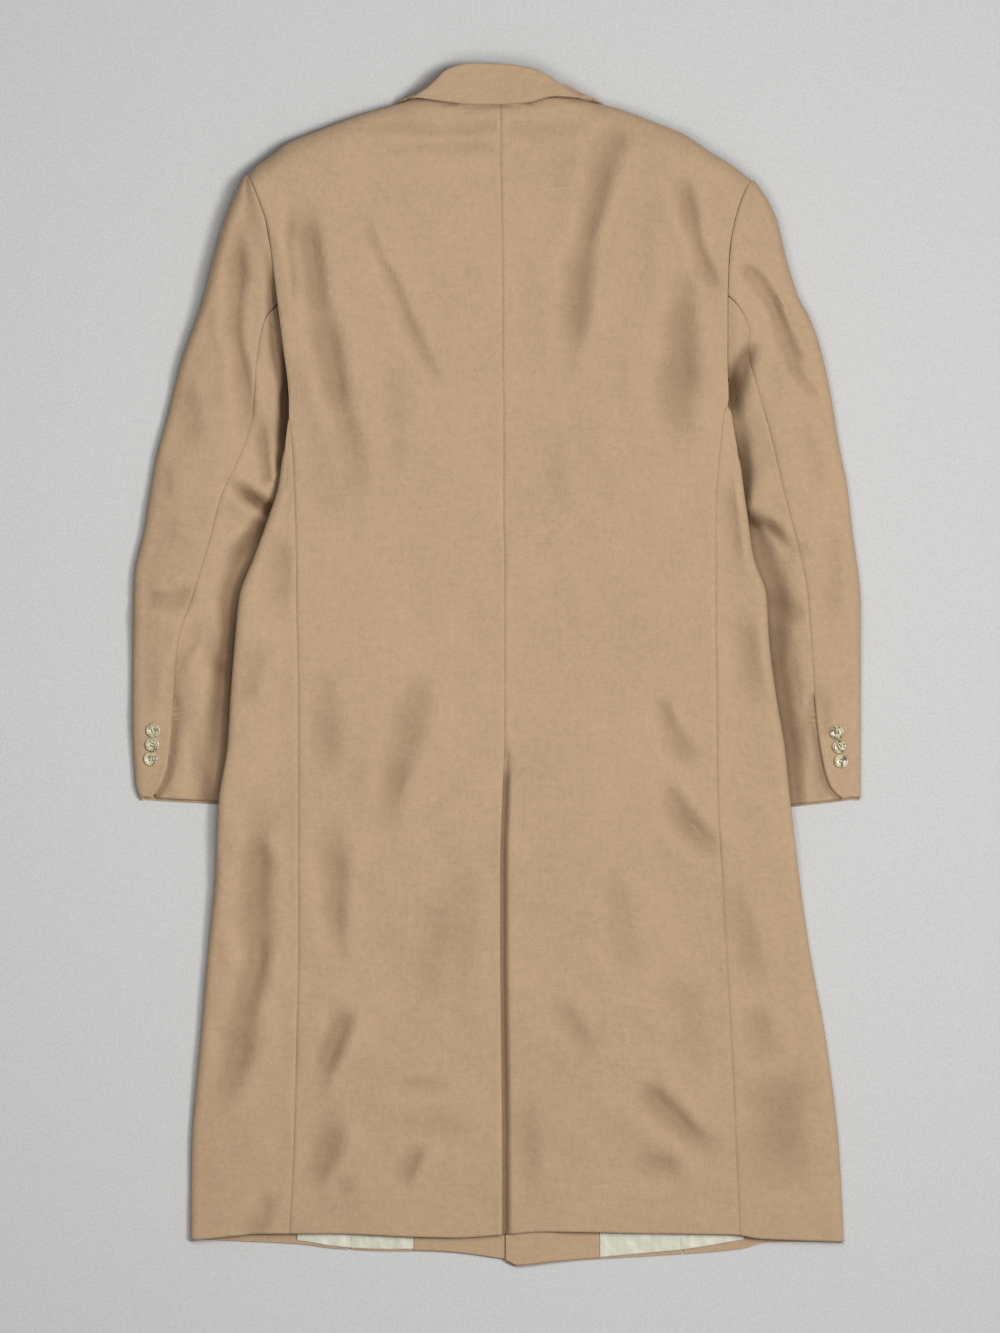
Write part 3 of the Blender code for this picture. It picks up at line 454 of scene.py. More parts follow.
BODY_CREASES = table(
    Crease,
    # The upper back, left of the centre seam.
    (((-199, 482), (-190, 430), (-182, 386), (-172, 330), (-160, 278), (-149, 230), (-142, 176),
     (-143, 130)), 12.4, 7, (0.15, 0.4), (0.14, 0.5)),
    (((-209, 474), (-208, 420), (-205, 360)), 4.6, 3.2, (0.2, 0.3), (0.3, 0.3), 0.1, 0.5),
    (((-190, 360), (-184, 300), (-178, 250)), 7, -1.6, (0.1, 0.1)),
    (((-146, 480), (-116, 410), (-89, 350), (-67, 301), (-52, 274)), 6.4, 3.6, (0.4, 0.3),
     (0.35, 0.2)),
    (((-176, 250), (-172, 190), (-174, 130)), 13, 1.8, (0.3, 0.3)),
    (((-112, 330), (-104, 250), (-108, 170)), 10, 1.3, (0.2, 0.2)),
    # The upper back, right of the centre seam.
    (((129, 556), (109, 503), (94, 448), (84, 390), (78, 330), (72, 262)), 11.5, 5.6, (0.5, 0.25),
     (0.1, 0.4)),
    (((184, 506), (193, 468), (206, 424), (225, 374)), 7.8, 5.4, (0.35, 0.35), (0.25, 0.2)),
    (((196, 410), (190, 345), (187, 262), (194, 205)), 16.9, 6.5, (0.35, 0.3), (0.25, 0.4)),
    (((152, 480), (148, 420), (150, 350)), 13, 1.2, (0.2, 0.2)),
    (((66, 250), (62, 200), (66, 140)), 10, 1.2, (0.2, 0.2)),
    # Across the neck.
    (((-160, 545), (-100, 549), (-50, 547), (2, 549)), 5.6, 2.6, (0.2, 0.5), (0.35, 0.05)),
    (((8, 549), (52, 546), (98, 550)), 7.8, 2.2, (0.2, 0.5), (0.05, 0.35)),
    (((-140, 532), (-80, 528), (-40, 527), (2, 529)), 5.6, 1.7, (0.2, 0.3), (0.3, 0.05)),
    # The waist and the sides.
    (((-238, 34), (-246, 0), (-262, -48)), 14.3, 3.4),
    (((-226, 150), (-221, 90), (-228, 36)), 11.7, 2.6),
    (((236, 200), (240, 150), (243, 96)), 9.1, 3.1),
    (((248, 70), (256, 5), (270, -52)), 14.3, 3.4),
    (((-72, 4), (-84, -50), (-101, -112), (-114, -184)), 14.3, 5.1, (0.3, 0.3)),
    (((-171, 4), (-174, -60), (-172, -126)), 11.7, 2.9, (0.3, 0.3)),
    (((160, -24), (184, -76), (210, -106)), 10.4, 4.7, (0.4, 0.2)),
    (((166, -112), (199, -166), (230, -198)), 10.4, 5.6, (0.4, 0.2), (0.3, 0.4)),
    # The skirt, left.
    (((-240, -116), (-243, -200), (-243, -287), (-252, -341), (-268, -417), (-292, -474)), 14, 7,
     (0.3, 0.45), (0.3, 0.25)),
    (((-168, -142), (-164, -232), (-159, -316)), 11.7, 4.7, (0.4, 0.3)),
    (((-150, -344), (-158, -366), (-171, -406), (-186, -444)), 10.4, 6.8, (0.4, 0.2), (0.25, 0.4)),
    (((-162, -448), (-176, -504), (-192, -542)), 11.7, 5.7, (0.45, 0.25)),
    (((-148, -520), (-156, -532), (-166, -540)), 9.1, 2.3),
    (((-74, -484), (-92, -519), (-99, -536)), 9.1, 4.4, (0.4, 0.2)),
    (((-226, -536), (-240, -562), (-252, -584)), 11.7, 3.6, (0.3, 0.3), (0.3, 0.05)),
    (((-60, -220), (-66, -290), (-71, -350)), 14.3, 2.5),
    (((-30, -180), (-36, -260), (-30, -340)), 16.9, 1.7),
    (((-108, -429), (-76, -426), (-40, -430)), 6.5, 2.2),
    (((-118, -470), (-60, -466), (-14, -472)), 10.4, 1.6),
    # The skirt, right.
    (((144, -420), (180, -460), (206, -482), (236, -496)), 13, 6.5, (0.35, 0.35), (0.25, 0.4)),
    (((134, -497), (160, -508), (192, -510)), 10.4, 4.2, (0.3, 0.4)),
    (((56, -332), (82, -371), (108, -396)), 13, 3.6, (0.35, 0.25)),
    (((114, -200), (128, -262), (141, -326)), 14.3, 2.6),
    (((30, -425), (33, -495), (31, -550)), 11.7, 2.6, (0.2, 0.35)),
    (((238, -205), (254, -285), (268, -345)), 16.9, 2.9, (0.3, 0.3)),
    (((262, -340), (270, -375), (282, -410)), 14.3, 3.1, (0.3, 0.2)),
    (((286, -398), (293, -468), (288, -548)), 28.6, 4.4, (0.15, 0.15)),
    (((190, -300), (196, -370), (205, -430)), 18.2, 2),
)


class CreviceRow(NamedTuple):
    """A level of a sleeve's hollow beside the body: its depth, its reach and its painted shade."""

    y: float
    depth: float
    reach: float
    dark: float


class RiseRow(NamedTuple):
    """A level where cloth stands up a little by itself."""

    y: float
    rise: float


SIDE_RISES = table(
    RiseRow,
    (-590, 0.0), (-260, 0.8), (-150, 3.0), (-60, 4.0), (60, 4.0), (150, 3.2), (210, 1.5),
    (262, 0.0),
)
SLEEVE_RISES = table(
    RiseRow,
    (-150, 0.0), (-95, 0.6), (-40, 2.4), (20, 4.6), (190, 4.4), (300, 3.0), (430, 0.0),
)
# The dark column is how much shade is painted into the sleeve's colour in the hollow beside the
# body.
CREVICES = {
    "left": table(
        CreviceRow,
        (-142, 2.4, 24, 0.5), (-113, 3.8, 24, 0.5), (-58, 4.4, 26, 0.62), (-4, 4.4, 25, 0.75),
        (40, 4.2, 21, 0.75), (72, 4.4, 26, 0.55), (116, 4.4, 28, 0.48), (150, 3.8, 15, 0.65),
        (172, 3.0, 8, 0.6), (191, 2.6, 5, 0.4), (207, 2.4, 8, 0.85), (240, 2.0, 13, 0.9),
        (270, 1.6, 13, 0.9), (292, 1.4, 6, 0.9), (350, 1.2, 4, 0.4),
    ),
    "right": table(
        CreviceRow,
        (-150, 2.4, 18, 0.45), (-124, 3.8, 20, 0.5), (-58, 4.4, 22, 0.65), (0, 4.4, 22, 0.65),
        (50, 4.4, 30, 0.55), (100, 4.2, 30, 0.45), (128, 3.8, 26, 0.5), (144, 3.4, 14, 0.75),
        (157, 2.4, 5, 0.6), (172, 3.2, 7, 0.9), (190, 3.6, 12, 0.9), (214, 3.4, 16, 0.85),
        (240, 2.6, 18, 0.5), (262, 2.2, 14, 0.35), (288, 2.0, 16, 0.45), (320, 1.0, 10, 0.2),
        (345, 0.6, 8, 0.1),
    ),
}
SLEEVE_CREASES = {
    "left": table(
        Crease,
        (((-233, 436), (-227, 373), (-221, 317), (-217, 284), (-217, 254), (-221, 222)), 5.5, 11,
         (0.12, 0.0), (0.35, 0.25), 0.1, 0.6),
        (((-265, 456), (-264, 398), (-265, 347), (-260, 302), (-251, 258), (-246, 222)), 8, 5,
         (0.3, 0.3), (0.2, 0.2)),
        (((-324, 306), (-316, 268), (-304, 214)), 13, 3.2, (0.2, 0.2)),
        (((-338, 220), (-338, 190), (-334, 160)), 10, 2.2, (0.2, 0.2)),
        (((-278, 196), (-263, 183), (-246, 171), (-225, 157)), 8, 8, (0.35, 0.4), (0.6, 0.05), 0.1,
         0.8),
        (((-242, 262), (-237, 225), (-235, 184)), 6, 4.5, (0.2, 0.2), (0.4, 0.1), 0.1, 0.5),
        (((-232, 146), (-248, 128), (-268, 110), (-286, 96)), 10, 4.2, (0.1, 0.4), (0.1, 0.5)),
        (((-362, 72), (-334, 66), (-302, 80)), 9, 4.2, (0.4, 0.3), (0.2, 0.3)),
        (((-298, 66), (-308, 28), (-326, -4), (-330, -58)), 8, 2.8, (0.3, 0.3)),
        (((-330, 150), (-312, 132), (-300, 118)), 10, -2.2, (0.1, 0.1)),
        (((-274, 52), (-287, 35), (-290, 14), (-281, -2), (-266, -9)), 7, 3.6, (0.5, 0.1)),
        (((-286, -18), (-293, -76), (-300, -112), (-296, -150)), 9, 3.0, (0.3, 0.4), (0.4, 0.05)),
        (((-303, -58), (-305, -90), (-300, -128)), 5, 2.2, (0.2, 0.3)),
        (((-322, 20), (-318, -30), (-316, -80)), 9, 2.0, (0.3, 0.2)),
        (((-352, 10), (-350, -20), (-346, -50)), 8, 1.4),
    ),
    "right": table(
        Crease,
        (((246, 409), (261, 399), (274, 379), (282, 364), (289, 347), (298, 327), (307, 310),
         (323, 292)), 7, 5.6, (0.6, 0.25), (0.1, 0.25)),
        (((264, 334), (254, 312), (247, 290), (242, 266), (240, 246)), 10, 8, (0.15, 0.35),
         (0.3, 0.25), 0.1, 0.55),
        (((294, 314), (311, 289), (331, 273)), 5, 3.4, (0.5, 0.2), (0.3, 0.2)),
        (((268, 208), (271, 182), (266, 157)), 10, -4.5, (0.1, 0.1), (0.35, 0.2)),
        (((250, 157), (266, 148), (281, 139), (298, 116)), 6.5, 6.5, (0.35, 0.2), (0.05, 0.5), 0.1,
         0.7),
        (((284, 122), (302, 121), (322, 112)), 6, 2.6, (0.3, 0.3)),
        (((276, 84), (290, 66), (318, 42)), 8, 3.4, (0.2, 0.35)),
        (((296, 40), (302, 0), (310, -60), (311, -128)), 8, 3.0, (0.1, 0.4)),
        (((312, 254), (322, 216), (332, 172)), 10, 2.4, (0.2, 0.3)),
        (((346, 150), (344, 90), (340, 30)), 10, 2.2, (0.2, 0.3)),
        (((326, -10), (332, -50), (334, -84)), 7, 1.8),
        (((322, -92), (325, -112), (331, -136)), 6, 2.4, (0.2, 0.2), (0.3, 0.1)),
    ),
}
FRONT_CREASES = table(
    Crease,
    (((-120, -520), (-112, -400), (-128, -260)), 26, -1.6),
    (((70, -480), (92, -360), (86, -200)), 30, -1.5),
    (((-60, -120), (-92, -20), (-84, 90)), 26, -1.4),
    (((120, -60), (104, 60), (118, 160)), 24, -1.6),
    (((-150, 330), (-166, 400), (-150, 470)), 24, -1.8),
    (((170, 310), (186, 390), (170, 460)), 26, -1.6),
)


# ---------------------------------------------------------------- how the coat lies


@dataclass(frozen=True)
class Cloths:
    """Thicknesses, gaps and the sizes of folds and laps, in millimetres."""

    wool: float = 2.5
    facing: float = 1.6
    lining: float = 1.0
    seam: float = 0.12
    layer: float = 0.8
    armhole_seam: float = 0.5
    hidden_seam: float = 1.2
    shoulder_seam_z: float = 20.0
    shoulder_round_top: float = 24.0
    shoulder_round_base: float = 26.0
    side_fold: float = 9.0
    sleeve_fold: float = 12.0
    inner_fold: float = 6.0
    over_sleeve: float = 2.0
    underarm_rise: float = 3.5
    sleeve_rise: float = 48.0
    cuff_rise: float = 60.0
    cuff_clear: float = 40.0
    lapel_clear: float = 32.0
    lapel_rise: float = 30.0
    vent_top: float = -97.0
    vent_underlap: float = 42.0
    vent_dip: float = 4.4
    cuff_vent_top: float = -38.0
    cuff_underlap: float = 22.0
    cuff_dip: float = 4.4
    cuff_dip_end: float = 14.0
    cuff_peep: float = 3.0
    front_edge: float = 9.0
    front_overlap: float = 9.0
    lapel_break: float = 180.0
    lapel_top: float = 448.0
    inner_lead: float = 35.0
    inner_clear: float = 12.0
    overlap_clear: float = 32.0
    overlap_rise: float = 53.0
    overlap_end: float = 70.0
    crown_gap: float = 2.0
    neck_level: float = 580.0
    seam_width: float = 1.2
    ridge_at: float = 5.0
    ridge_width: float = 3.0
    shown_depth: float = 62.0
    hem: float = -590.0
    shoulder_slope: float = 0.92
    sleeve_low: float = 6.2
    collar_shows: float = 565.0


CLOTHS = Cloths()


class CoatSide:
    """One side of the coat: its lines as functions of y. out is -1 on the left, 1 on the right."""

    def __init__(self, name: str, out: int, lines: Sequence[Sequence[NamedTuple]]) -> None:
        """Makes the tracks of the side's lines.

        Args:
            name: left or right.
            out: the sign of x on that side.
            lines: its armhole, front seam, outer fold, elbow seam, inseam and inner fold.
        """
        armhole, front_seam, outer, elbow, inseam, inner = lines
        self.name = name
        self.out = out
        self.edge = column(BODY, name + "_edge")
        self.side_seam = column(BODY, name + "_seam")
        self.armhole = column(armhole, "back")
        self.front_armhole = column(armhole, "front")
        self.front_seam = column(front_seam, "x")
        self.outer = column(outer, "x")
        self.elbow = column(elbow, "x")
        self.inseam = column(inseam, "x")
        self.inner = column(inner, "x")
        self.front_edge = column(ROLL, name)
        self.lapel = column(ROLL, "lapel_" + name)
        self.underarm = armhole[0].y
        self.seam_top = armhole[2].y if out < 0 else armhole[3].y
        self.front_seam_top = front_seam[-1].y
        self.crown = armhole[-1].y
        self.shoulder = armhole[-1].back
        self.elbow_top = elbow[-1].y
        self.cuff = outer[0].y
        self.cuff_inner = inner[0].y

    def seam_line(self, y: Array) -> Array:
        """The side seam, which bends out to the armhole at its top."""
        bent = ease(self.seam_top - 20, self.seam_top - 1, y)
        return mix(self.side_seam(y), self.armhole(y), bent)

    def back_boundary(self, y: Array) -> Array:
        """The side seam and, above it, the back of the armhole."""
        return np.where(y < self.seam_top, self.seam_line(y), self.armhole(y))

    def seam_end(self, y: Array) -> Array:
        """How near y is to the side seam's top, where its relief dies away, from 0 to 1."""
        return ease(self.seam_top - 45, self.seam_top - 20, y)

    def body_edge(self, y: Array) -> Array:
        """The side fold and, above it, the back of the armhole."""
        near = ease(self.underarm - 22, self.underarm, y)
        return mix(self.edge(y), self.armhole(y), near)

    def cuff_line(self, x: Array) -> Array:
        """The cuff's edge, which slants a little between the outer and the inner fold."""
        share = (x - self.outer(-130.0)) / (self.inner(-150.0) - self.outer(-130.0))
        return mix(self.cuff, self.cuff_inner, share)


class BodyShape:
    """The upper and lower faces of the body, as heights over the surface."""

    def __init__(self, left: CoatSide, right: CoatSide) -> None:
        """Makes the tracks that both halves share.

        Args:
            left: the wearer's left side.
            right: the wearer's right side.
        """
        self.left, self.right = left, right
        self.centre = column(BODY, "centre")
        self.z_centre = column(BODY, "z_centre")
        self.z_seam = column(BODY, "z_seam")
        self.z_edge = column(BODY, "z_edge")
        self.top_line = column(SHOULDERS, "y", "x")
        self.back_hem = column(BACK_HEM, "y", "x")
        self.front_hem = column(FRONT_HEM, "y", "x")
        self.loft_inner = column(LOFT, "inner")
        self.drifts = (Drift(1.2, 120, 300, 4), Drift(0.75, 45, 95, 11), Drift(0.2, 18, 40, 17))
        self.side_rise = column(SIDE_RISES, "rise")
        falls = sorted(s.fall[:2] for s in COLLAR if s.fall[1] > CLOTHS.collar_shows)
        self.fall_edge = Track([x for x, _ in falls], [y for _, y in falls])

    def shoulder_share(self, x: Array) -> Array:
        """1 along the shoulders, where the edge is rounded, and 0 along the neckline."""
        return 1 - ease(-90, -50, x) * (1 - ease(55, 90, x))

    def shoulder_round(self, x: Array, y: Array, radius: float) -> Array:
        """How far the rounded edge along the shoulders has risen, from 0 to 1."""
        return quarter_round((self.top_line(x) - y) * CLOTHS.shoulder_slope, radius)

    def top(self, x: Array, y: Array) -> Array:
        """Height of the coat's upper face.

        Args:
            x: places across the coat.
            y: places along the coat.

        Returns:
            The heights.
        """
        on_left = x < self.centre(y)
        half = np.where(on_left, self.left.back_boundary(y), self.right.back_boundary(y))
        edge = np.where(on_left, self.left.body_edge(y), self.right.body_edge(y))
        across = (x - self.centre(y)) / (half - self.centre(y))
        over = np.abs(x - half) / np.maximum(np.abs(edge - half), 10)
        flat = mix(self.z_centre(y), self.z_seam(y), ease(0.1, 1.0, across))
        flat = mix(flat, self.z_edge(y), np.clip(over, 0, 1) * (across > 1))
        flat = flat + self.side_rise(y) * ease(0.2, 0.9, over) * (across > 1)
        flat = flat - self.creased(x, y)
        for drift in self.drifts:
            flat = flat + drift.raises(x, y)
        risen = self.shoulder_round(x, y, CLOTHS.shoulder_round_top)
        rounded = mix(CLOTHS.shoulder_seam_z, flat, risen)
        return mix(flat, rounded, self.shoulder_share(x))

    def creased(self, x: Array, y: Array) -> Array:
        """How far all the creases of the back lower it."""
        return sum(crease.lowers(x, y) for crease in BODY_CREASES)

    def shade(self, x: Array, y: Array) -> Array:
        """How much shade is painted into the cloth's colour at each place, from 0 to 1."""
        # Painted shadow on the vent's underlap, in the dip beside the left panel's edge.
        from_vent = x - self.centre(y)
        low = 1 - ease(CLOTHS.vent_top - 22, CLOTHS.vent_top + 2, y)
        vent = 0.6 * (from_vent > 0) * (1 - ease(6.2, 7.6, from_vent)) * low
        # Painted shadow in a narrow band just below the collar's fall edge.
        below_collar = self.fall_edge(x) - y
        collar = 0.7 * bell(below_collar - 0.3, 1.5) + 0.2 * bell(below_collar - 2, 5.0)
        collar = collar * ease(-92, -80, x) * (1 - ease(88, 98, x))
        # Painted shade in the creases' troughs.
        folded = sum(crease.paints_shade(x, y) for crease in BODY_CREASES if crease.depth > 0)
        return np.clip(folded + vent + collar, 0, 1)

    def cover(self, side: CoatSide, x: Array, y: Array) -> Array:
        """Height that a tucked sleeve takes from the body's underside.

        Args:
            side: the side that the sleeve is on.
            x: places across the coat.
            y: places along the coat.

        Returns:
            The heights, 0 clear of the sleeve.
        """
        past = (side.inner(y - CLOTHS.inner_lead) - x) * side.out
        across = 1 - ease(CLOTHS.inner_clear, CLOTHS.inner_clear + CLOTHS.sleeve_rise, past)
        clear = side.cuff - CLOTHS.cuff_clear
        along = ease(clear - CLOTHS.cuff_rise, clear, y)
        along = along * (1 - ease(side.underarm + 22, side.underarm + 80, y))
        near_arm = ease(side.underarm - 60, side.underarm - 20, y)
        over = CLOTHS.over_sleeve + CLOTHS.underarm_rise * near_arm
        return (self.loft_inner(np.minimum(y, side.underarm)) + over) * across * along

    def base(self, x: Array, y: Array) -> Array:
        """Height of the underside of the fronts, over what lies between them and the surface.

        Args:
            x: places across the coat.
            y: places along the coat.

        Returns:
            The heights.
        """
        lift = np.maximum(self.cover(self.left, x, y), self.cover(self.right, x, y))
        under = ease(CLOTHS.lapel_break - 150, CLOTHS.lapel_break - 100, y)
        for side in (self.left, self.right):
            past = (x - side.lapel(y)) * side.out
            inside = (x - self.centre(y)) * side.out > 0
            near = 1 - ease(CLOTHS.lapel_clear, CLOTHS.lapel_clear + CLOTHS.lapel_rise, past)
            lift = np.maximum(lift, inside * under * (CLOTHS.wool + CLOTHS.layer) * near)
        risen = self.shoulder_round(x, y, CLOTHS.shoulder_round_base)
        seam = CLOTHS.shoulder_seam_z - CLOTHS.layer - 1.3 * (1 - ease(118, 150, np.abs(x)))
        return mix(lift, mix(seam, lift, risen), self.shoulder_share(x))

    def front_lift(self, side: CoatSide, x: Array, y: Array) -> Array:
        """How far the right front's edge is lifted by the left front under it.

        Args:
            side: the front's side.
            x: places across the coat.
            y: places along the coat.

        Returns:
            The lift, 0 on the left front.
        """
        if side.out < 0:
            return np.zeros_like(x)
        raised = CLOTHS.front_edge + CLOTHS.overlap_clear
        near = 1 - ease(raised, raised + CLOTHS.overlap_rise, x)
        ends = 1 - ease(CLOTHS.lapel_break - CLOTHS.overlap_end, CLOTHS.lapel_break, y)
        return (CLOTHS.wool + CLOTHS.layer) * near * ends


class SleeveShape:
    """The upper and lower faces of one sleeve."""

    def __init__(self, side: CoatSide) -> None:
        """Keeps the side's lines and makes the sleeve's heights.

        Args:
            side: the side that the sleeve is on.
        """
        self.side = side
        self.outer_z = column(LOFT, "outer")
        self.inner_z = column(LOFT, "inner")
        self.crevice = column(CREVICES[side.name], "depth")
        self.reach = column(CREVICES[side.name], "reach")
        self.dark = column(CREVICES[side.name], "dark")
        self.rise = column(SLEEVE_RISES, "rise")
        self.drifts = (Drift(1.0, 70, 170, 21 + side.out), Drift(0.45, 32, 60, 31 + side.out))

    def top(self, x: Array, y: Array) -> Array:
        """Height of the sleeve's upper face, also where the body covers it.

        Args:
            x: places across the coat.
            y: places along the coat.

        Returns:
            The heights.
        """
        side = self.side
        covered = side.body_edge(y)
        across = (x - side.outer(y)) / (covered - side.outer(y))
        past = (covered - x) * side.out
        inner = mix(self.inner_z(y), self.inner_z(np.minimum(y, side.underarm)), ease(0, 8, past))
        flat = mix(self.outer_z(y), inner, ease(0.45, 0.97, across))
        showing = 1 - ease(4, 16, past)
        below = 1 - ease(side.underarm - 6, side.underarm + 14, y)
        hollow = 1 - ease(0.2, 1.0, -past / self.reach(y))
        flat = flat - self.crevice(y) * hollow * below
        away = ease(0.25, 1.25, -past / self.reach(y))
        near_fold = ease(0.0, 0.3, across)
        flat = flat + self.rise(y) * away * near_fold
        flat = flat - self.creased(x, y) * showing
        for drift in self.drifts:
            flat = flat + drift.raises(x, y) * showing
        flat = np.where(flat < CLOTHS.sleeve_low, mix(CLOTHS.sleeve_low, flat, 0.15), flat)
        risen = quarter_round(side.crown + CLOTHS.crown_gap - y, CLOTHS.shoulder_round_top)
        return mix(CLOTHS.shoulder_seam_z, flat, risen)

    def creased(self, x: Array, y: Array) -> Array:
        """How far all the creases of the sleeve lower it."""
        return sum(crease.lowers(x, y) for crease in SLEEVE_CREASES[self.side.name])

    def shade(self, x: Array, y: Array) -> Array:
        """How much shade is painted into the cloth's colour at each place, from 0 to 1."""
        # Painted shade in the hollow beside the body's edge, where the body shades the sleeve.
        out = (x - self.side.body_edge(y)) * self.side.out
        below = 1 - ease(self.side.underarm + 60, self.side.underarm + 110, y)
        beside = self.dark(y) * (1 - ease(0.45, 1.05, out / self.reach(y))) * below
        # Painted shadow on the under sleeve along the cuff's vent, beside the top sleeve's edge.
        from_vent = (self.side.elbow(y) - x) * self.side.out
        low = 1 - ease(CLOTHS.cuff_vent_top - 16, CLOTHS.cuff_vent_top + 14, y)
        vent = 0.4 * (from_vent > 0) * (1 - ease(3, 11, from_vent)) * low
        # Painted shade in the creases' troughs.
        creases = SLEEVE_CREASES[self.side.name]
        folded = sum(crease.paints_shade(x, y) for crease in creases if crease.depth > 0)
        return np.clip(folded + beside + vent, 0, 1)

    def base(self, y: Array) -> Array:
        """Height of the sleeve's underside."""
        risen = quarter_round(self.side.crown + CLOTHS.crown_gap - y, CLOTHS.shoulder_round_base)
        return CLOTHS.shoulder_seam_z * (1 - risen)


def turned(
    edge: Array, inward: int, depth: Array, top: Array, base: Array, turn: Array
) -> tuple[Array, Array]:
    """x and z round a fold.

    Args:
        edge: x of the fold's outermost line.
        inward: the sign of x away from the fold.
        depth: how far the fold's round reaches in.
        top: height where the round starts.
        base: height where it ends.
        turn: 0 on the upper face to 1 on the lower one.

    Returns:
        x and z.
    """
    angle = turn * math.pi
    x = edge + inward * depth * (1 - np.sin(angle))
    return x, (top + base) / 2 + (top - base) / 2 * np.cos(angle)


def sewn_edge(distance: Array, deep: float) -> Array:
    """How far cloth drops at a seam, beside the ridge that its ironed allowance makes."""
    ridge = 0.3 * bell(distance - CLOTHS.ridge_at, CLOTHS.ridge_width)
    return deep * bell(distance, CLOTHS.seam_width) - ridge


def puckers(along: Array, distance: Array, seed: float) -> Array:
    """The small waves that the stitches draw into the cloth beside a seam.

    Args:
        along: places along the seam.
        distance: distances from the seam.
        seed: where the waves start.

    Returns:
        The heights.
    """
    wave = np.sin(along / 2.9 + 2.2 * np.sin(along / 13.0 + seed))
    strength = 0.16 * (0.6 + 0.4 * np.sin(along / 37 + seed))
    return strength * wave * bell(distance - 2.0, 4.5)


def stitched(along: Array, distance: Array, seed: float, deep: float = 0.95) -> Array:
    """How far cloth drops beside a seam, puckers and all."""
    return sewn_edge(distance, deep) - puckers(along, distance, seed)


def rolled_edge(distance: Array, radius: float) -> Array:
    """How far a turned hem or a folded edge drops as it rounds over."""
    return radius * (1 - quarter_round(distance, radius))


# ---------------------------------------------------------------- making pieces


def stages(u: Array) -> Places:
    """How far u has come over the upper face, round the fold and under, each from 0 to 1."""
    return np.clip(u, 0, 1), np.clip(u - 1, 0, 1), np.clip(u - 2, 0, 1)


def linked(name: str, data: bpy.types.ID) -> Object:
    """A new object in the scene."""
    obj = bpy.data.objects.new(name, data)
    bpy.context.scene.collection.objects.link(obj)
    return obj


def meshed(name: str, shape: Shape) -> bpy.types.Mesh:
    """A mesh made from a shape, which is freed."""
    mesh = bpy.data.meshes.new(name)
    shape.to_mesh(mesh)
    shape.free()
    return mesh


def settled(obj: Object) -> bpy.types.Mesh:
    """The object's new mesh, with its modifiers worked into it."""
    graph = bpy.context.evaluated_depsgraph_get()
    mesh = bpy.data.meshes.new_from_object(obj.evaluated_get(graph))
    obj.modifiers.clear()
    obj.data = mesh
    return mesh


FINE_STEPS = (0.3, 0.7, 1.2, 1.8, 2.6, 3.8, 5.4)


def spaced(start: float, end: float, length: float, cell: float, fine: str = "") -> Array:
    """Places of grid lines along one stretch of a piece.

    Args:
        start: the first place.
        end: the last place.
        length: the stretch's real length.
        cell: the wanted distance between lines.
        fine: which ends get closer lines, first, last, both or none of them.

    Returns:
        The places, rising from start to end.
    """
    marks = [0.0]
    low = FINE_STEPS if fine in ("first", "both") else ()
    high = FINE_STEPS if fine in ("last", "both") else ()
    marks.extend(low)
    begin, finish = (low[-1] if low else 0.0), length - (high[-1] if high else 0.0)
    count = max(1, round((finish - begin) / cell))
    marks.extend(np.linspace(begin, finish, count + 1)[1:])
    marks.extend(length - step for step in reversed(high[:-1]))
    if high:
        marks.append(length)
    return start + (end - start) * np.array(marks) / length


def joined(*stretches: Array) -> Array:
    """Stretches of grid lines that follow each other, as one."""
    parts = [stretches[0], *(s[1:] for s in stretches[1:])]
    return np.concatenate(parts)


def round_fold(upper: Pair, fold: Pair, lower: Pair, fine: str = "first") -> Array:
    """Grid lines over a piece, round its fold and under it.

    Args:
        upper: the real length of the upper stretch and the wanted distance between its lines.
        fold: the same of the fold.
        lower: the same of the lower stretch.
        fine: which ends of the upper stretch get closer lines.

    Returns:
        The places, rising from 0 to 3.
    """
    return joined(spaced(0, 1, *upper, fine), spaced(1, 2, *fold), spaced(2, 3, *lower))


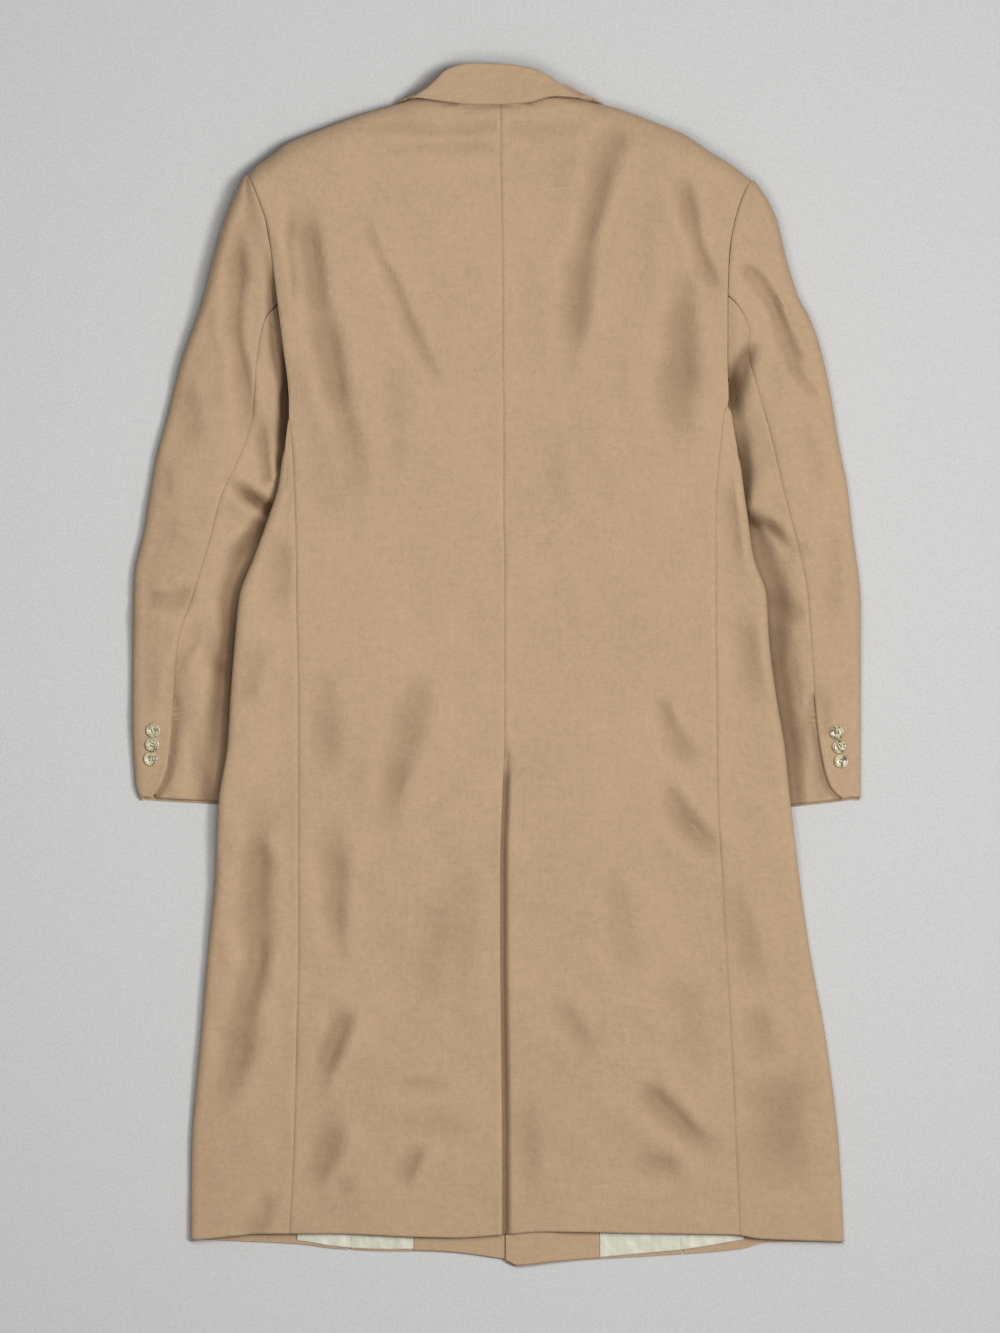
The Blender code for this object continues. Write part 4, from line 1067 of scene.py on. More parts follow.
@dataclass
class ClothPiece:
    """A piece of cloth: a grid bent onto a surface, with its thickness behind the outer face."""

    name: str
    columns: Array
    rows: Array
    surface: Surface
    finish: Material
    flat: Pair
    rests_on: tuple[str, ...]
    wall: float = CLOTHS.wool
    slot: str = "camel_wool"
    replaces: bool = True
    area: Optional[float] = None
    faces_up: bool = True
    keep: Optional[Callable[[Array, Array], Array]] = None
    # How much shade is painted into the colour at each place, none if it is left out.
    shade: Optional[Callable[[Array, Array], Array]] = None
    sharp: float = math.radians(55)

    def build(self) -> Object:
        """Returns:
            The finished object.
        """
        mesh = self.grid()
        obj = linked(self.name + "_cloth", mesh)
        solid = obj.modifiers.new("wall", "SOLIDIFY")
        solid.thickness = self.wall * MM
        solid.offset = -1
        walled = settled(obj)
        bpy.data.meshes.remove(mesh)
        walled.name = obj.name
        walled.set_sharp_from_angle(angle=self.sharp)
        walled.materials.clear()
        walled.materials.append(self.finish)
        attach(obj, "root")
        if self.replaces:
            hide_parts(self.name)
        list(self.rests_on)
        LOG.info("%s: %d faces", obj.name, len(walled.polygons))
        return obj

    def grid(self) -> bpy.types.Mesh:
        """The outer face alone, with a UV map in metres of cloth.

        Returns:
            The mesh.
        """
        across, up = len(self.columns), len(self.rows)
        sheet = bmesh.new()
        bmesh.ops.create_grid(sheet, x_segments=across - 1, y_segments=up - 1, size=0.5)
        uv = sheet.loops.layers.uv.new("cloth")
        at = np.array([vert.co for vert in sheet.verts])
        i = np.rint((at[:, 0] + 0.5) * (across - 1)).astype(int)
        j = np.rint((at[:, 1] + 0.5) * (up - 1)).astype(int)
        u, v = self.columns[i], self.rows[j]
        place = np.stack(self.surface(u, v), axis=-1) * MM
        spread = np.zeros((across, up, 3))
        spread[i, j] = place
        side = np.linalg.norm(np.diff(spread, axis=0), axis=2)
        ahead = np.linalg.norm(np.diff(spread, axis=1), axis=2)
        run_x = np.concatenate([np.zeros((1, up)), np.cumsum(side, axis=0)])
        run_y = np.concatenate([np.zeros((across, 1)), np.cumsum(ahead, axis=1)], axis=1)
        run_x = run_x - run_x[across // 2] + spread[across // 2, :, 0].mean()
        run_y = run_y - run_y[:, :1] + spread[0, 0, 1]
        # This vertex attribute carries the shade that the wool's material paints into its colour.
        pressed = sheet.verts.layers.float.new("pressed")
        amounts = self.shade(place[:, 0] / MM, place[:, 1] / MM) if self.shade else np.zeros(len(u))
        for vert, where, amount, share in zip(sheet.verts, place, amounts, u):
            vert.co = where
            vert[pressed] = amount
            vert.tag = share < 1 + TINY
        sheet.verts.index_update()
        for face in sheet.faces:
            for loop in face.loops:
                a, b = i[loop.vert.index], j[loop.vert.index]
                loop[uv].uv = (run_x[a, b], run_y[a, b])
        if self.keep:
            kept = self.keep(u, v)
            spare = [f for f in sheet.faces if not all(kept[w.index] for w in f.verts)]
            bmesh.ops.delete(sheet, geom=spare, context="FACES")
        sheet.normal_update()
        above = [f for f in sheet.faces if all(vert.tag for vert in f.verts)]
        facing = sum(f.normal.z * f.calc_area() for f in above)
        if (facing > 0) != self.faces_up:
            bmesh.ops.reverse_faces(sheet, faces=sheet.faces[:])
        mesh = meshed(self.name, sheet)
        mesh.shade_smooth()
        return mesh


# ---------------------------------------------------------------- finishes


class NodeBench:
    """Adds nodes to one material and joins them."""

    def __init__(self, name: str) -> None:
        """Starts a material with an empty shader.

        Args:
            name: the material's name.
        """
        self.material = bpy.data.materials.new(name)
        self.material.use_nodes = True
        self.tree = self.material.node_tree
        self.shader = self.tree.nodes["Principled BSDF"]

    def add(self, kind: str, **settings: object) -> bpy.types.Node:
        """A new node.

        Args:
            kind: the node's type.
            settings: its properties.

        Returns:
            The node.
        """
        node = self.tree.nodes.new(kind)
        for key, value in settings.items():
            setattr(node, key, value)
        return node

    def on_cloth(self) -> Socket:
        """Places on the cloth, in metres from its UV map."""
        return self.add("ShaderNodeUVMap", uv_map="cloth").outputs["UV"]

    def on_object(self) -> Socket:
        """Places on the object's own axes, in metres."""
        return self.add("ShaderNodeTexCoord").outputs["Object"]

    def join(self, source: Socket, target: Socket) -> None:
        """Links an output to an input."""
        self.tree.links.new(source, target)

    def feed(self, source: Socket, name: str) -> None:
        """Links an output to one of the shader's inputs."""
        self.join(source, self.shader.inputs[name])

    def sets(self, **values: object) -> None:
        """Sets the shader's own inputs, with _ for each space in their names."""
        for name, value in values.items():
            self.shader.inputs[name.replace("_", " ")].default_value = value

    def noise(
        self,
        where: Socket,
        scale: float,
        detail: float = 2.0,
        stretch: Triple = (1, 1, 1),
        twist: float = 0.0,
    ) -> Socket:
        """A noise pattern.

        Args:
            where: the coordinates, in metres.
            scale: features a metre.
            detail: finer layers of noise.
            stretch: factors on the coordinates.
            twist: how much the pattern is distorted.

        Returns:
            The factor's socket.
        """
        if stretch != (1, 1, 1):
            mapping = self.add("ShaderNodeMapping")
            mapping.inputs["Scale"].default_value = stretch
            self.join(where, mapping.inputs["Vector"])
            where = mapping.outputs["Vector"]
        node = self.add("ShaderNodeTexNoise")
        node.inputs["Scale"].default_value = scale
        node.inputs["Detail"].default_value = detail
        node.inputs["Distortion"].default_value = twist
        self.join(where, node.inputs["Vector"])
        return node.outputs["Fac"]

    def ranged(
        self, source: Socket, low: float, high: float, to_low: float, to_high: float
    ) -> Socket:
        """A value moved from one range to another.

        Args:
            source: the value.
            low: the source's low end.
            high: the source's high end.
            to_low: what low becomes.
            to_high: what high becomes.

        Returns:
            The result's socket.
        """
        node = self.add("ShaderNodeMapRange")
        ends = {"From Min": low, "From Max": high, "To Min": to_low, "To Max": to_high}
        for key, value in ends.items():
            node.inputs[key].default_value = value
        self.join(source, node.inputs["Value"])
        return node.outputs["Result"]

    def sums(self, *terms: tuple[Socket, float]) -> Socket:
        """The sum of values, each times its weight.

        Args:
            terms: pairs of a value and its weight.

        Returns:
            The sum's socket.
        """
        total = None
        for source, weight in terms:
            node = self.add("ShaderNodeMath", operation="MULTIPLY_ADD")
            self.join(source, node.inputs[0])
            node.inputs[1].default_value = weight
            if total is None:
                node.inputs[2].default_value = 0.0
            else:
                self.join(total, node.inputs[2])
            total = node.outputs[0]
        return total

    def ramp(self, source: Socket, stops: Sequence[tuple[float, Colour]]) -> Socket:
        """A value turned into a colour.

        Args:
            source: the value.
            stops: pairs of a place and its colour.

        Returns:
            The colour's socket.
        """
        node = self.add("ShaderNodeValToRGB")
        elements = node.color_ramp.elements
        while len(elements) < len(stops):
            elements.new(0.5)
        for element, (place, colour) in zip(elements, stops):
            element.position = place
            element.color = (*colour, 1)
        self.join(source, node.inputs["Fac"])
        return node.outputs["Color"]

    def bump(self, height: Socket, strength: float, distance: float) -> None:
        """Roughens the shader's normal.

        Args:
            height: the relief.
            strength: how much of it is used.
            distance: its depth in metres.
        """
        node = self.add("ShaderNodeBump")
        node.inputs["Strength"].default_value = strength
        node.inputs["Distance"].default_value = distance
        self.join(height, node.inputs["Height"])
        self.feed(node.outputs["Normal"], "Normal")


def scaled(colour: Colour, share: float) -> Colour:
    """The colour made darker or lighter by a share."""
    return tuple(min(1.0, c * share) for c in colour)


@dataclass(frozen=True)
class WoolCoating:
    """Camel wool overcoating: a woven cloth that is brushed until a short nap hides its weave."""

    name: str = "camel_wool"
    colour: Colour = (0.485, 0.335, 0.212)
    mottle: float = 0.085
    cloud: float = 0.07
    sheen: float = 0.22
    # How far the painted shade can darken the colour, at most.
    shade_paint_strength: float = 0.9

    def material(self) -> Material:
        """The finished material."""
        bench = NodeBench(self.name)
        where = bench.on_cloth()
        cloud = bench.noise(where, 7.5, 3.0, twist=0.6)
        patch = bench.noise(where, 48.0, 3.0, twist=0.8)
        nap = bench.noise(where, 170.0, 3.0, (1.0, 0.8, 1.0), 0.5)
        tuft = bench.noise(where, 520.0, 2.0)
        fibre = bench.noise(where, 1500.0, 2.0, (0.45, 1.0, 1.0), 1.2)
        weft = bench.noise(where, 330.0, 1.0, (0.1, 1.0, 1.0))
        warp = bench.noise(where, 330.0, 1.0, (1.0, 0.1, 1.0))
        weights = (self.cloud / self.mottle, 0.5, 1.2, 1.3, 0.7, 0.45, 0.25)
        tone = bench.sums(*zip((cloud, patch, nap, tuft, fibre, weft, warp), weights))
        middle = sum(weights) / 2
        shade = bench.ranged(tone, middle - 1.0, middle + 1.0, 0.0, 1.0)
        dark = scaled(self.colour, 1 - 2.6 * self.mottle)
        light = scaled(self.colour, 1 + 2.2 * self.mottle)
        cloth = bench.ramp(shade, ((0.0, dark), (0.5, self.colour), (1.0, light)))
        # Painted shade: the vertex attribute darkens the colour towards a dark brown in creases and
        # hollows.
        pressed = bench.add("ShaderNodeAttribute", attribute_name="pressed").outputs["Fac"]
        shade_painted = bench.add("ShaderNodeMix", data_type="RGBA", blend_type="MULTIPLY")
        bench.join(bench.ranged(pressed, 0.0, 1.0, 0.0, self.shade_paint_strength), shade_painted.inputs["Factor"])
        bench.join(cloth, shade_painted.inputs["A"])
        shade_painted.inputs["B"].default_value = (0.16, 0.1, 0.05, 1.0)
        bench.feed(shade_painted.outputs["Result"], "Base Color")
        relief = bench.sums((patch, 0.5), (nap, 0.9), (tuft, 0.55), (fibre, 0.3), (weft, 0.25))
        bench.bump(relief, 0.55, 0.0011)
        bench.sets(Roughness=0.93, Specular_IOR_Level=0.22)
        bench.sets(Sheen_Weight=self.sheen, Sheen_Roughness=0.45, Sheen_Tint=(1.0, 0.86, 0.7, 1.0))
        return bench.material


@dataclass(frozen=True)
class SatinLining:
    """Ivory satin: long floats of thread along one way, with a soft gloss across them."""

    name: str = "ivory_satin_lining"
    colour: Colour = (0.62, 0.61, 0.5)

    def material(self) -> Material:
        """The finished material."""
        bench = NodeBench(self.name)
        where = bench.on_cloth()
        cloud = bench.noise(where, 30.0, 2.0)
        floats = bench.noise(where, 2600.0, 1.0, (0.08, 1.0, 1.0))
        ripple = bench.noise(where, 150.0, 2.0, (0.5, 1.0, 1.0), 0.6)
        tone = bench.sums((cloud, 0.6), (floats, 0.4))
        ends = ((0.3, scaled(self.colour, 0.9)), (0.7, scaled(self.colour, 1.12)))
        bench.feed(bench.ramp(tone, ends), "Base Color")
        bench.bump(bench.sums((floats, 0.25), (ripple, 1.0)), 0.5, 0.0009)
        bench.feed(bench.ranged(floats, 0.3, 0.7, 0.34, 0.46), "Roughness")
        bench.sets(Anisotropic=0.5, Sheen_Weight=0.15)
        return bench.material


@dataclass(frozen=True)
class HornBlank:
    """Mottled horn: cream with grey-brown clouds, polished."""

    name: str = "horn_button"
    cream: Colour = (0.56, 0.5, 0.33)
    brown: Colour = (0.13, 0.095, 0.05)
    glint: Colour = (0.66, 0.61, 0.46)

    def material(self) -> Material:
        """The finished material."""
        bench = NodeBench(self.name)
        where = bench.on_object()
        cloud = bench.noise(where, 150.0, 2.5, twist=1.6)
        streak = bench.noise(where, 520.0, 2.0, (1.0, 0.35, 1.0), 1.0)
        tone = bench.sums((cloud, 0.8), (streak, 0.2))
        middle = tuple((a * 0.62 + b * 0.38) for a, b in zip(self.cream, self.brown))
        stops = ((0.4, self.brown), (0.46, middle), (0.52, self.cream), (0.75, self.glint))
        bench.feed(bench.ramp(tone, stops), "Base Color")
        bench.bump(streak, 0.15, 0.0002)
        bench.feed(bench.ranged(streak, 0.3, 0.7, 0.2, 0.34), "Roughness")
        bench.sets(Coat_Weight=0.35, Coat_Roughness=0.12)
        return bench.material


@dataclass(frozen=True)
class ButtonThread:
    """Waxed tan thread, twisted."""

    name: str = "button_thread"
    colour: Colour = (0.36, 0.25, 0.15)

    def material(self) -> Material:
        """The finished material."""
        bench = NodeBench(self.name)
        where = bench.on_object()
        twist = bench.noise(where, 3200.0, 1.0, (1.0, 0.4, 1.0))
        ends = ((0.35, scaled(self.colour, 0.7)), (0.65, scaled(self.colour, 1.25)))
        bench.feed(bench.ramp(twist, ends), "Base Color")
        bench.bump(twist, 0.5, 0.0002)
        bench.sets(Roughness=0.75)
        return bench.material


# ---------------------------------------------------------------- the pieces


@dataclass
class BackPanels:
    """The two back panels, with the centre seam, the long vent and its underlap."""

    body: BodyShape
    wool: Material
    cell: float = 4.2
    length: float = 1160.0
    hem_y: float = -580.0
    neck_y: float = 578.0
    hem_roll: float = 2.4
    vent_roll: float = 2.2

    def build(self) -> list[Object]:
        """Makes both panels."""
        return [self.panel(self.body.left), self.panel(self.body.right)]

    def panel(self, side: CoatSide) -> Object:
        """Makes one panel, from its side seam and armhole to the centre seam.

        Args:
            side: the panel's side.

        Returns:
            The panel. The right one has the vent's underlap, in columns with u over 1.
        """
        body = self.body
        inset = CLOTHS.seam / 2 * side.out
        underlap = side.out > 0
        vent_share = (CLOTHS.vent_top - self.hem_y) / (self.neck_y - self.hem_y)

        def surface(u: Array, v: Array) -> Places:
            """Places for shares u across the panel and v up it."""
            across = np.minimum(u, 1)
            hem_x = mix(side.side_seam(CLOTHS.hem), body.centre(CLOTHS.hem), across)
            top_x = mix(side.shoulder, body.centre(CLOTHS.neck_level), across)
            y = mix(body.back_hem(hem_x), body.top_line(top_x), v)
            outer = side.back_boundary(y) - inset
            inner = body.centre(y) + inset
            x = mix(outer, inner, across)
            x = x - side.out * CLOTHS.vent_underlap * np.maximum(u - 1, 0)
            z = body.top(x, y)
            from_outer = np.abs(x - outer)
            from_centre = np.abs(x - inner)
            in_vent = 1 - ease(CLOTHS.vent_top - 6, CLOTHS.vent_top + 8, y)
            soft = side.seam_end(y)
            soft = soft * (1 - ease(side.seam_top - 6, side.seam_top + 14, y))
            z = z - stitched(y, from_outer, 0.4) * (1 - 0.8 * soft)
            z = z - stitched(y, from_centre, 1.9) * (1 - in_vent)
            if underlap:
                dipped = 1 - ease(CLOTHS.vent_top + 1, CLOTHS.vent_top + 20, y)
                deep = ease(-7.4, -2.6, (body.centre(y) - x) * side.out)
                z = z - CLOTHS.vent_dip * deep * dipped
            else:
                lip = 0.55 * bell(from_centre - 3.5, 3.0)
                z = z - (rolled_edge(from_centre, self.vent_roll) - lip) * in_vent
            hem = y - body.back_hem(hem_x)
            z = z - rolled_edge(hem, self.hem_roll) + 0.3 * bell(hem - 40, 5.0)
            return x, y, z

        def keep(u: Array, v: Array) -> Array:
            """The underlap stops at the vent's top."""
            return (u <= 1 + TINY) | (v <= vent_share + TINY)

        low = spaced(0, vent_share, self.length * vent_share, self.cell, "first")
        high = spaced(vent_share, 1, self.length * (1 - vent_share), self.cell, "last")
        columns = spaced(0, 1, 225.0, self.cell, "both")
        if underlap:
            columns = joined(columns, spaced(1, 2, CLOTHS.vent_underlap, self.cell))
        return ClothPiece(
            name="back_" + side.name,
            columns=columns,
            rows=joined(low, high),
            surface=surface,
            finish=self.wool,
            flat=(0.3, 1.18) if underlap else (0.265, 1.18),
            rests_on=("front_" + side.name, "facing_" + side.name),
            area=0.27 if underlap else 0.248,
            keep=keep if underlap else None,
            shade=body.shade,
        ).build()


@dataclass
class SidePanels:
    """The panels that go round the side folds, from the back's side seams to the fronts."""

    body: BodyShape
    wool: Material
    cell: float = 4.4

    def build(self) -> list[Object]:
        """Makes both panels."""
        return [self.panel(self.body.left), self.panel(self.body.right)]

    def lines(self, side: CoatSide, y: Array) -> Places:
        """x of the sewn edge, x where the fold starts, and the fold's depth.

        Args:
            side: the panel's side.
            y: places along the coat.

        Returns:
            The three values at each place.
        """
        seam_gap = CLOTHS.seam / 2 * side.out
        edge = side.body_edge(y) - seam_gap * ease(side.underarm - 22, side.underarm - 3, y)
        narrow = 1 - ease(2, 30, (edge - side.seam_line(y)) * side.out)
        seam = side.seam_line(y) + seam_gap + 0.3 * narrow * side.out
        depth = np.clip((edge - seam) * side.out * 0.6, 1.5, CLOTHS.side_fold)
        depth = mix(depth, 0.6, ease(side.underarm - 30, side.underarm - 4, y))
        return seam, edge - side.out * depth, depth

    def panel(self, side: CoatSide) -> Object:
        """Makes one panel. u runs 0 to 1 on top, 1 to 2 round the fold and 2 to 3 underneath.

        Args:
            side: the panel's side.

        Returns:
            The panel.
        """
        body = self.body
        seam_gap = CLOTHS.seam / 2

        def surface(u: Array, v: Array) -> Places:
            """Places for shares u round the panel and v up it."""
            over, turn, under = stages(u)
            seam_hem, fold_hem = side.side_seam(CLOTHS.hem), side.edge(CLOTHS.hem)
            hem_top = body.back_hem(mix(seam_hem, fold_hem, over))
            hem_base = body.front_hem(mix(fold_hem, side.front_seam(CLOTHS.hem), under))
            low = np.where(u < 2, hem_top, hem_base)
            high = mix(side.seam_top - 9, side.underarm, over)
            armpit = mix(side.underarm, side.front_seam_top, under)
            high = np.where(u > 2, armpit, high) - CLOTHS.armhole_seam
            y = mix(low, high, v)
            seam, start, depth = self.lines(side, y)
            edge, top, base = start + side.out * depth, body.top(start, y), body.base(start, y)
            fold_x, fold_z = turned(edge, -side.out, depth, top, base, turn)
            top_seam, top_start, _ = self.lines(side, high)
            arch = side.armhole(high) - side.out * (seam_gap + 0.6 * over)
            arch = (arch - mix(top_seam, top_start, over)) * ease(0, 0.2, over)
            flat_x = mix(seam, start, over) + arch * ease(0.94, 1, v)
            x = np.where(u < 1, flat_x, fold_x)
            z = np.where(u < 1, body.top(x, y), fold_z)
            from_seam = np.abs(x - seam)
            sewn = 1 - 0.8 * side.seam_end(y)
            z = z - (u < 1) * stitched(y, from_seam, 0.4) * sewn
            far = mix(start, side.front_seam(y) + CLOTHS.hidden_seam * side.out, under)
            x = np.where(u > 2, far, x)
            z = np.where(u > 2, body.base(far, y), z)
            hem = y - low
            ends = rolled_edge(hem, 2.4) - 0.3 * bell(hem - 40, 5.0) + rolled_edge(high - y, 2.0)
            z = z - (u < 2) * (1 - turn) * ends
            return x, y, z

        return ClothPiece(
            name="side_" + side.name,
            columns=round_fold((92.0, self.cell), (28.0, 2.4), (140.0, 6.0)),
            rows=spaced(0, 1, 845.0, self.cell, "both"),
            surface=surface,
            finish=self.wool,
            flat=(0.29, 0.89),
            rests_on=("under_sleeve_" + side.name,),
            area=0.19,
            shade=body.shade,
        ).build()


@dataclass
class Fronts:
    """The fronts and their turned-back lapels, which lie on the surface under the back."""

    body: BodyShape
    wool: Material
    cell: float = 6.0

    def build(self) -> list[Object]:
        """Makes both fronts and both lapels."""
        sides = (self.body.left, self.body.right)
        return [self.front(side) for side in sides] + [self.lapel(side) for side in sides]

    def front(self, side: CoatSide) -> Object:
        """Makes one front.

        Args:
            side: the front's side.

        Returns:
            The front.
        """
        body = self.body
        ends = CLOTHS.lapel_break

        def surface(u: Array, v: Array) -> Places:
            """Places for shares u from the side to the front edge and v up the front."""
            hem_x = mix(side.front_seam(CLOTHS.hem), CLOTHS.front_edge, u)
            top_x = mix(side.shoulder, side.front_edge(575.0), u)
            y = mix(body.front_hem(hem_x), body.top_line(top_x), v)
            sewn = np.where(y < side.front_seam_top, side.front_seam(y), side.front_armhole(y))
            below = CLOTHS.front_edge + (CLOTHS.front_overlap if side.out < 0 else 0)
            inner = mix(below, side.front_edge(y), ease(ends - 150, ends - 80, y))
            x = mix(sewn - CLOTHS.hidden_seam * side.out, inner, u)
            z = body.base(x, y) + body.front_lift(side, x, y)
            clear = ease(0, 60, y - body.front_hem(hem_x)) * ease(0, 0.12, u)
            clear = clear * (1 - ease(0.8, 0.95, u))
            for crease in FRONT_CREASES:
                z = z - np.minimum(crease.lowers(x, y), 0) * clear
            return x, y, z

        return ClothPiece(
            name="front_" + side.name,
            columns=spaced(0, 1, 165.0, self.cell, "both"),
            rows=spaced(0, 1, 1180.0, self.cell, "first"),
            surface=surface,
            finish=self.wool,
            flat=(0.28, 1.19),
            rests_on=("floor",) if side.out < 0 else ("front_left",),
            area=0.19,
            faces_up=False,
        ).build()

    def lapel(self, side: CoatSide) -> Object:
        """Makes one lapel, folded back between its front and the surface.

        Args:
            side: the lapel's side.

        Returns:
            The lapel.
        """

        def surface(u: Array, v: Array) -> Places:
            """Places for shares u from the roll line to the lapel's edge and v up it."""
            y = mix(CLOTHS.lapel_break + 6, CLOTHS.lapel_top, v)
            x = mix(side.front_edge(y), side.lapel(y), u)
            return x, y + 12 * u * v * (1 - u), np.zeros_like(x)

        return ClothPiece(
            name="lapel_" + side.name,
            columns=spaced(0, 1, 70.0, 5.0, "last"),
            rows=spaced(0, 1, 262.0, 5.0, "last"),
            surface=surface,
            finish=self.wool,
            flat=(0.14, 0.27),
            rests_on=("floor",),
            area=0.0125,
            faces_up=False,
        ).build()


@dataclass
class Sleeve:
    """A two-piece sleeve with an elbow seam, an inseam and a cuff vent."""

    shape: SleeveShape
    wool: Material
    cell: float = 3.8
    cuff_roll: float = 2.2

    def build(self) -> list[Object]:
        """Makes the top sleeve and the under sleeve."""
        return [self.top_sleeve(), self.under_sleeve()]

    def seam_share(self) -> float:
        """How far up the elbow seam ends, as a share of the sleeve's length."""
        side = self.shape.side
        return (side.elbow_top - side.cuff) / (side.crown - side.cuff)

    def dipped(self, y: Array) -> Array:
        """1 along the cuff's vent, where the underlap lies lower, and 0 above it."""
        top = CLOTHS.cuff_vent_top
        return 1 - ease(top, top + CLOTHS.cuff_dip_end, y)

    def top_sleeve(self) -> Object:
        """Makes the outer piece, from the elbow seam round the outer fold to the inseam.

        Returns:
            The piece.
        """
        shape, side = self.shape, self.shape.side

        def first_line(y: Array) -> Array:
            """The elbow seam and, above it, the back of the armhole."""
            above = side.armhole(y) + CLOTHS.armhole_seam * side.out
            return np.where(y < side.elbow_top, side.elbow(y), above)

        def last_line(y: Array) -> Array:
            """The inseam and, above it, the front of the armhole."""
            below = side.inseam(y) + CLOTHS.hidden_seam * side.out
            above = side.front_armhole(y) + CLOTHS.armhole_seam * side.out
            return mix(below, above, ease(side.underarm - 2, side.underarm + 14, y))

        def surface(u: Array, v: Array) -> Places:
            """Places for shares u round the piece and v up it."""
            over, turn, under = stages(u)
            cuff_x = np.where(
                u < 2,
                mix(first_line(side.cuff), side.outer(side.cuff), over),
                mix(side.outer(side.cuff), last_line(side.cuff), under),
            )
            low = side.cuff_line(cuff_x) - CLOTHS.cuff_peep * ease(1.2, 2.2, u)
            y = mix(low, side.crown - 0.5, v)
            first, outer = first_line(y) + CLOTHS.seam / 2 * side.out, side.outer(y)
            depth = np.clip((outer - first) * side.out * 0.45, 1.2, CLOTHS.sleeve_fold)
            start = outer - side.out * depth
            base = shape.base(y)
            fold_x, fold_z = turned(outer, -side.out, depth, shape.top(start, y), base, turn)
            x = np.where(u < 1, mix(first, start, over), fold_x)
            z = np.where(u < 1, shape.top(x, y), fold_z)
            from_seam = np.abs(x - first)
            in_vent = 1 - ease(CLOTHS.cuff_vent_top - 6, CLOTHS.cuff_vent_top + 10, y)
            sewn = stitched(y, from_seam, 2.0, 0.9) * (1 - in_vent)
            free = (rolled_edge(from_seam, 2.0) - 0.5 * bell(from_seam - 3.0, 2.5)) * in_vent
            cuff = y - low
            turned_up = rolled_edge(cuff, self.cuff_roll) * (1 - turn)
            z = z - (u < 1) * (sewn + free) - (u < 2) * turned_up
            x = np.where(u > 2, mix(start, last_line(y), under), x)
            z = np.where(u > 2, base, z)
            return x, y, z

        return ClothPiece(
            name="top_sleeve_" + side.name,
            columns=round_fold((70.0, self.cell), (34.0, 2.6), (140.0, 7.0)),
            rows=spaced(0, 1, 640.0, self.cell, "both"),
            surface=surface,
            finish=self.wool,
            flat=(0.25, 0.66),
            rests_on=("floor",),
            area=0.135,
            shade=shape.shade,
        ).build()

    def under_sleeve(self) -> Object:
        """Makes the inner piece, from the elbow seam, under the body and round the inner fold.

        Returns:
            The piece.
        """
        shape, side = self.shape, self.shape.side
        seam_share = self.seam_share()

        def bounds(v: Array) -> tuple[Array, Array, Array, Array]:
            """Points of the piece's elbow seam and of its inner fold."""
            low = side.cuff_line(side.elbow(side.cuff))
            y_seam = mix(low, side.crown - 0.5, v * seam_share)
            ramp = ease(CLOTHS.cuff_vent_top - 19, CLOTHS.cuff_vent_top, y_seam)
            lap = CLOTHS.cuff_underlap * (1 - ramp)
            widest = side.outer(y_seam) * side.out - CLOTHS.sleeve_fold - 5
            dipped = self.dipped(y_seam)
            seam = side.elbow(y_seam) * side.out - CLOTHS.seam / 2 - 0.2 * dipped
            x_seam = np.minimum(seam + lap, widest) * side.out
            y_inner = mix(side.cuff_inner, side.underarm - 2, v)
            return x_seam, y_seam, side.inner(y_inner), y_inner

        def surface(u: Array, v: Array) -> Places:
            """Places for shares u round the piece and v up it."""
            over, turn, under = stages(u)
            x_seam, y_seam, inner, y_inner = bounds(v)
            depth = CLOTHS.inner_fold * mix(1, 0.3, ease(0.8, 1, v))
            start = inner + side.out * depth
            y_top = mix(side.elbow_top - 1, side.underarm - 2, over)
            x_top = side.body_edge(y_top) + CLOTHS.armhole_seam * side.out
            ends = bounds(np.ones_like(v))
            corner_x = mix(ends[0], ends[2] + side.out * CLOTHS.inner_fold * 0.3, over)
            corner_y = mix(ends[1], ends[3], over)
            late = v**60
            x = mix(x_seam, start, over) + mix(late, v, over) * (x_top - corner_x)
            y = mix(y_seam, y_inner, over) + mix(late, v, over) * (y_top - corner_y)
            dipped = self.dipped(y)
            from_elbow = (side.elbow(y) - x) * side.out
            dip = CLOTHS.cuff_dip * dipped * (1 - ease(1, 11, from_elbow))
            from_seam = np.abs(from_elbow)
            sewn = stitched(y, from_seam, 2.0, 0.9) * (1 - dipped)
            low = side.cuff_line(mix(x_seam, start, over))
            hem = np.maximum(y - low, 0)
            from_armhole = np.abs(x - side.body_edge(y) - CLOTHS.armhole_seam * side.out)
            z = shape.top(x, y) - dip - sewn - rolled_edge(hem, self.cuff_roll)
            z = z - 0.8 * bell(from_armhole, 1.6) * ease(side.underarm - 4, side.underarm + 8, y)
            fold_x, fold_z = turned(inner, side.out, depth, shape.top(start, y_inner), 0.0, turn)
            x = np.where(u > 1, fold_x, x)
            y = np.where(u > 1, y_inner, y)
            z = np.where(u > 1, fold_z, z)
            x = np.where(u > 2, mix(start, side.inseam(y_inner), under), x)
            z = np.where(u > 2, 0.0, z)
            return x, y - CLOTHS.cuff_peep * ease(1.2, 2.2, u) * (1 - v) ** 8, z

        return ClothPiece(
            name="under_sleeve_" + side.name,
            columns=round_fold((150.0, self.cell), (16.0, 2.0), (26.0, 5.0), "both"),
            rows=spaced(0, 1, 450.0, self.cell, "both"),
            surface=surface,
            finish=self.wool,
            flat=(0.2, 0.56),
            rests_on=("top_sleeve_" + side.name,),
            area=0.082,
            shade=shape.shade,
        ).build()


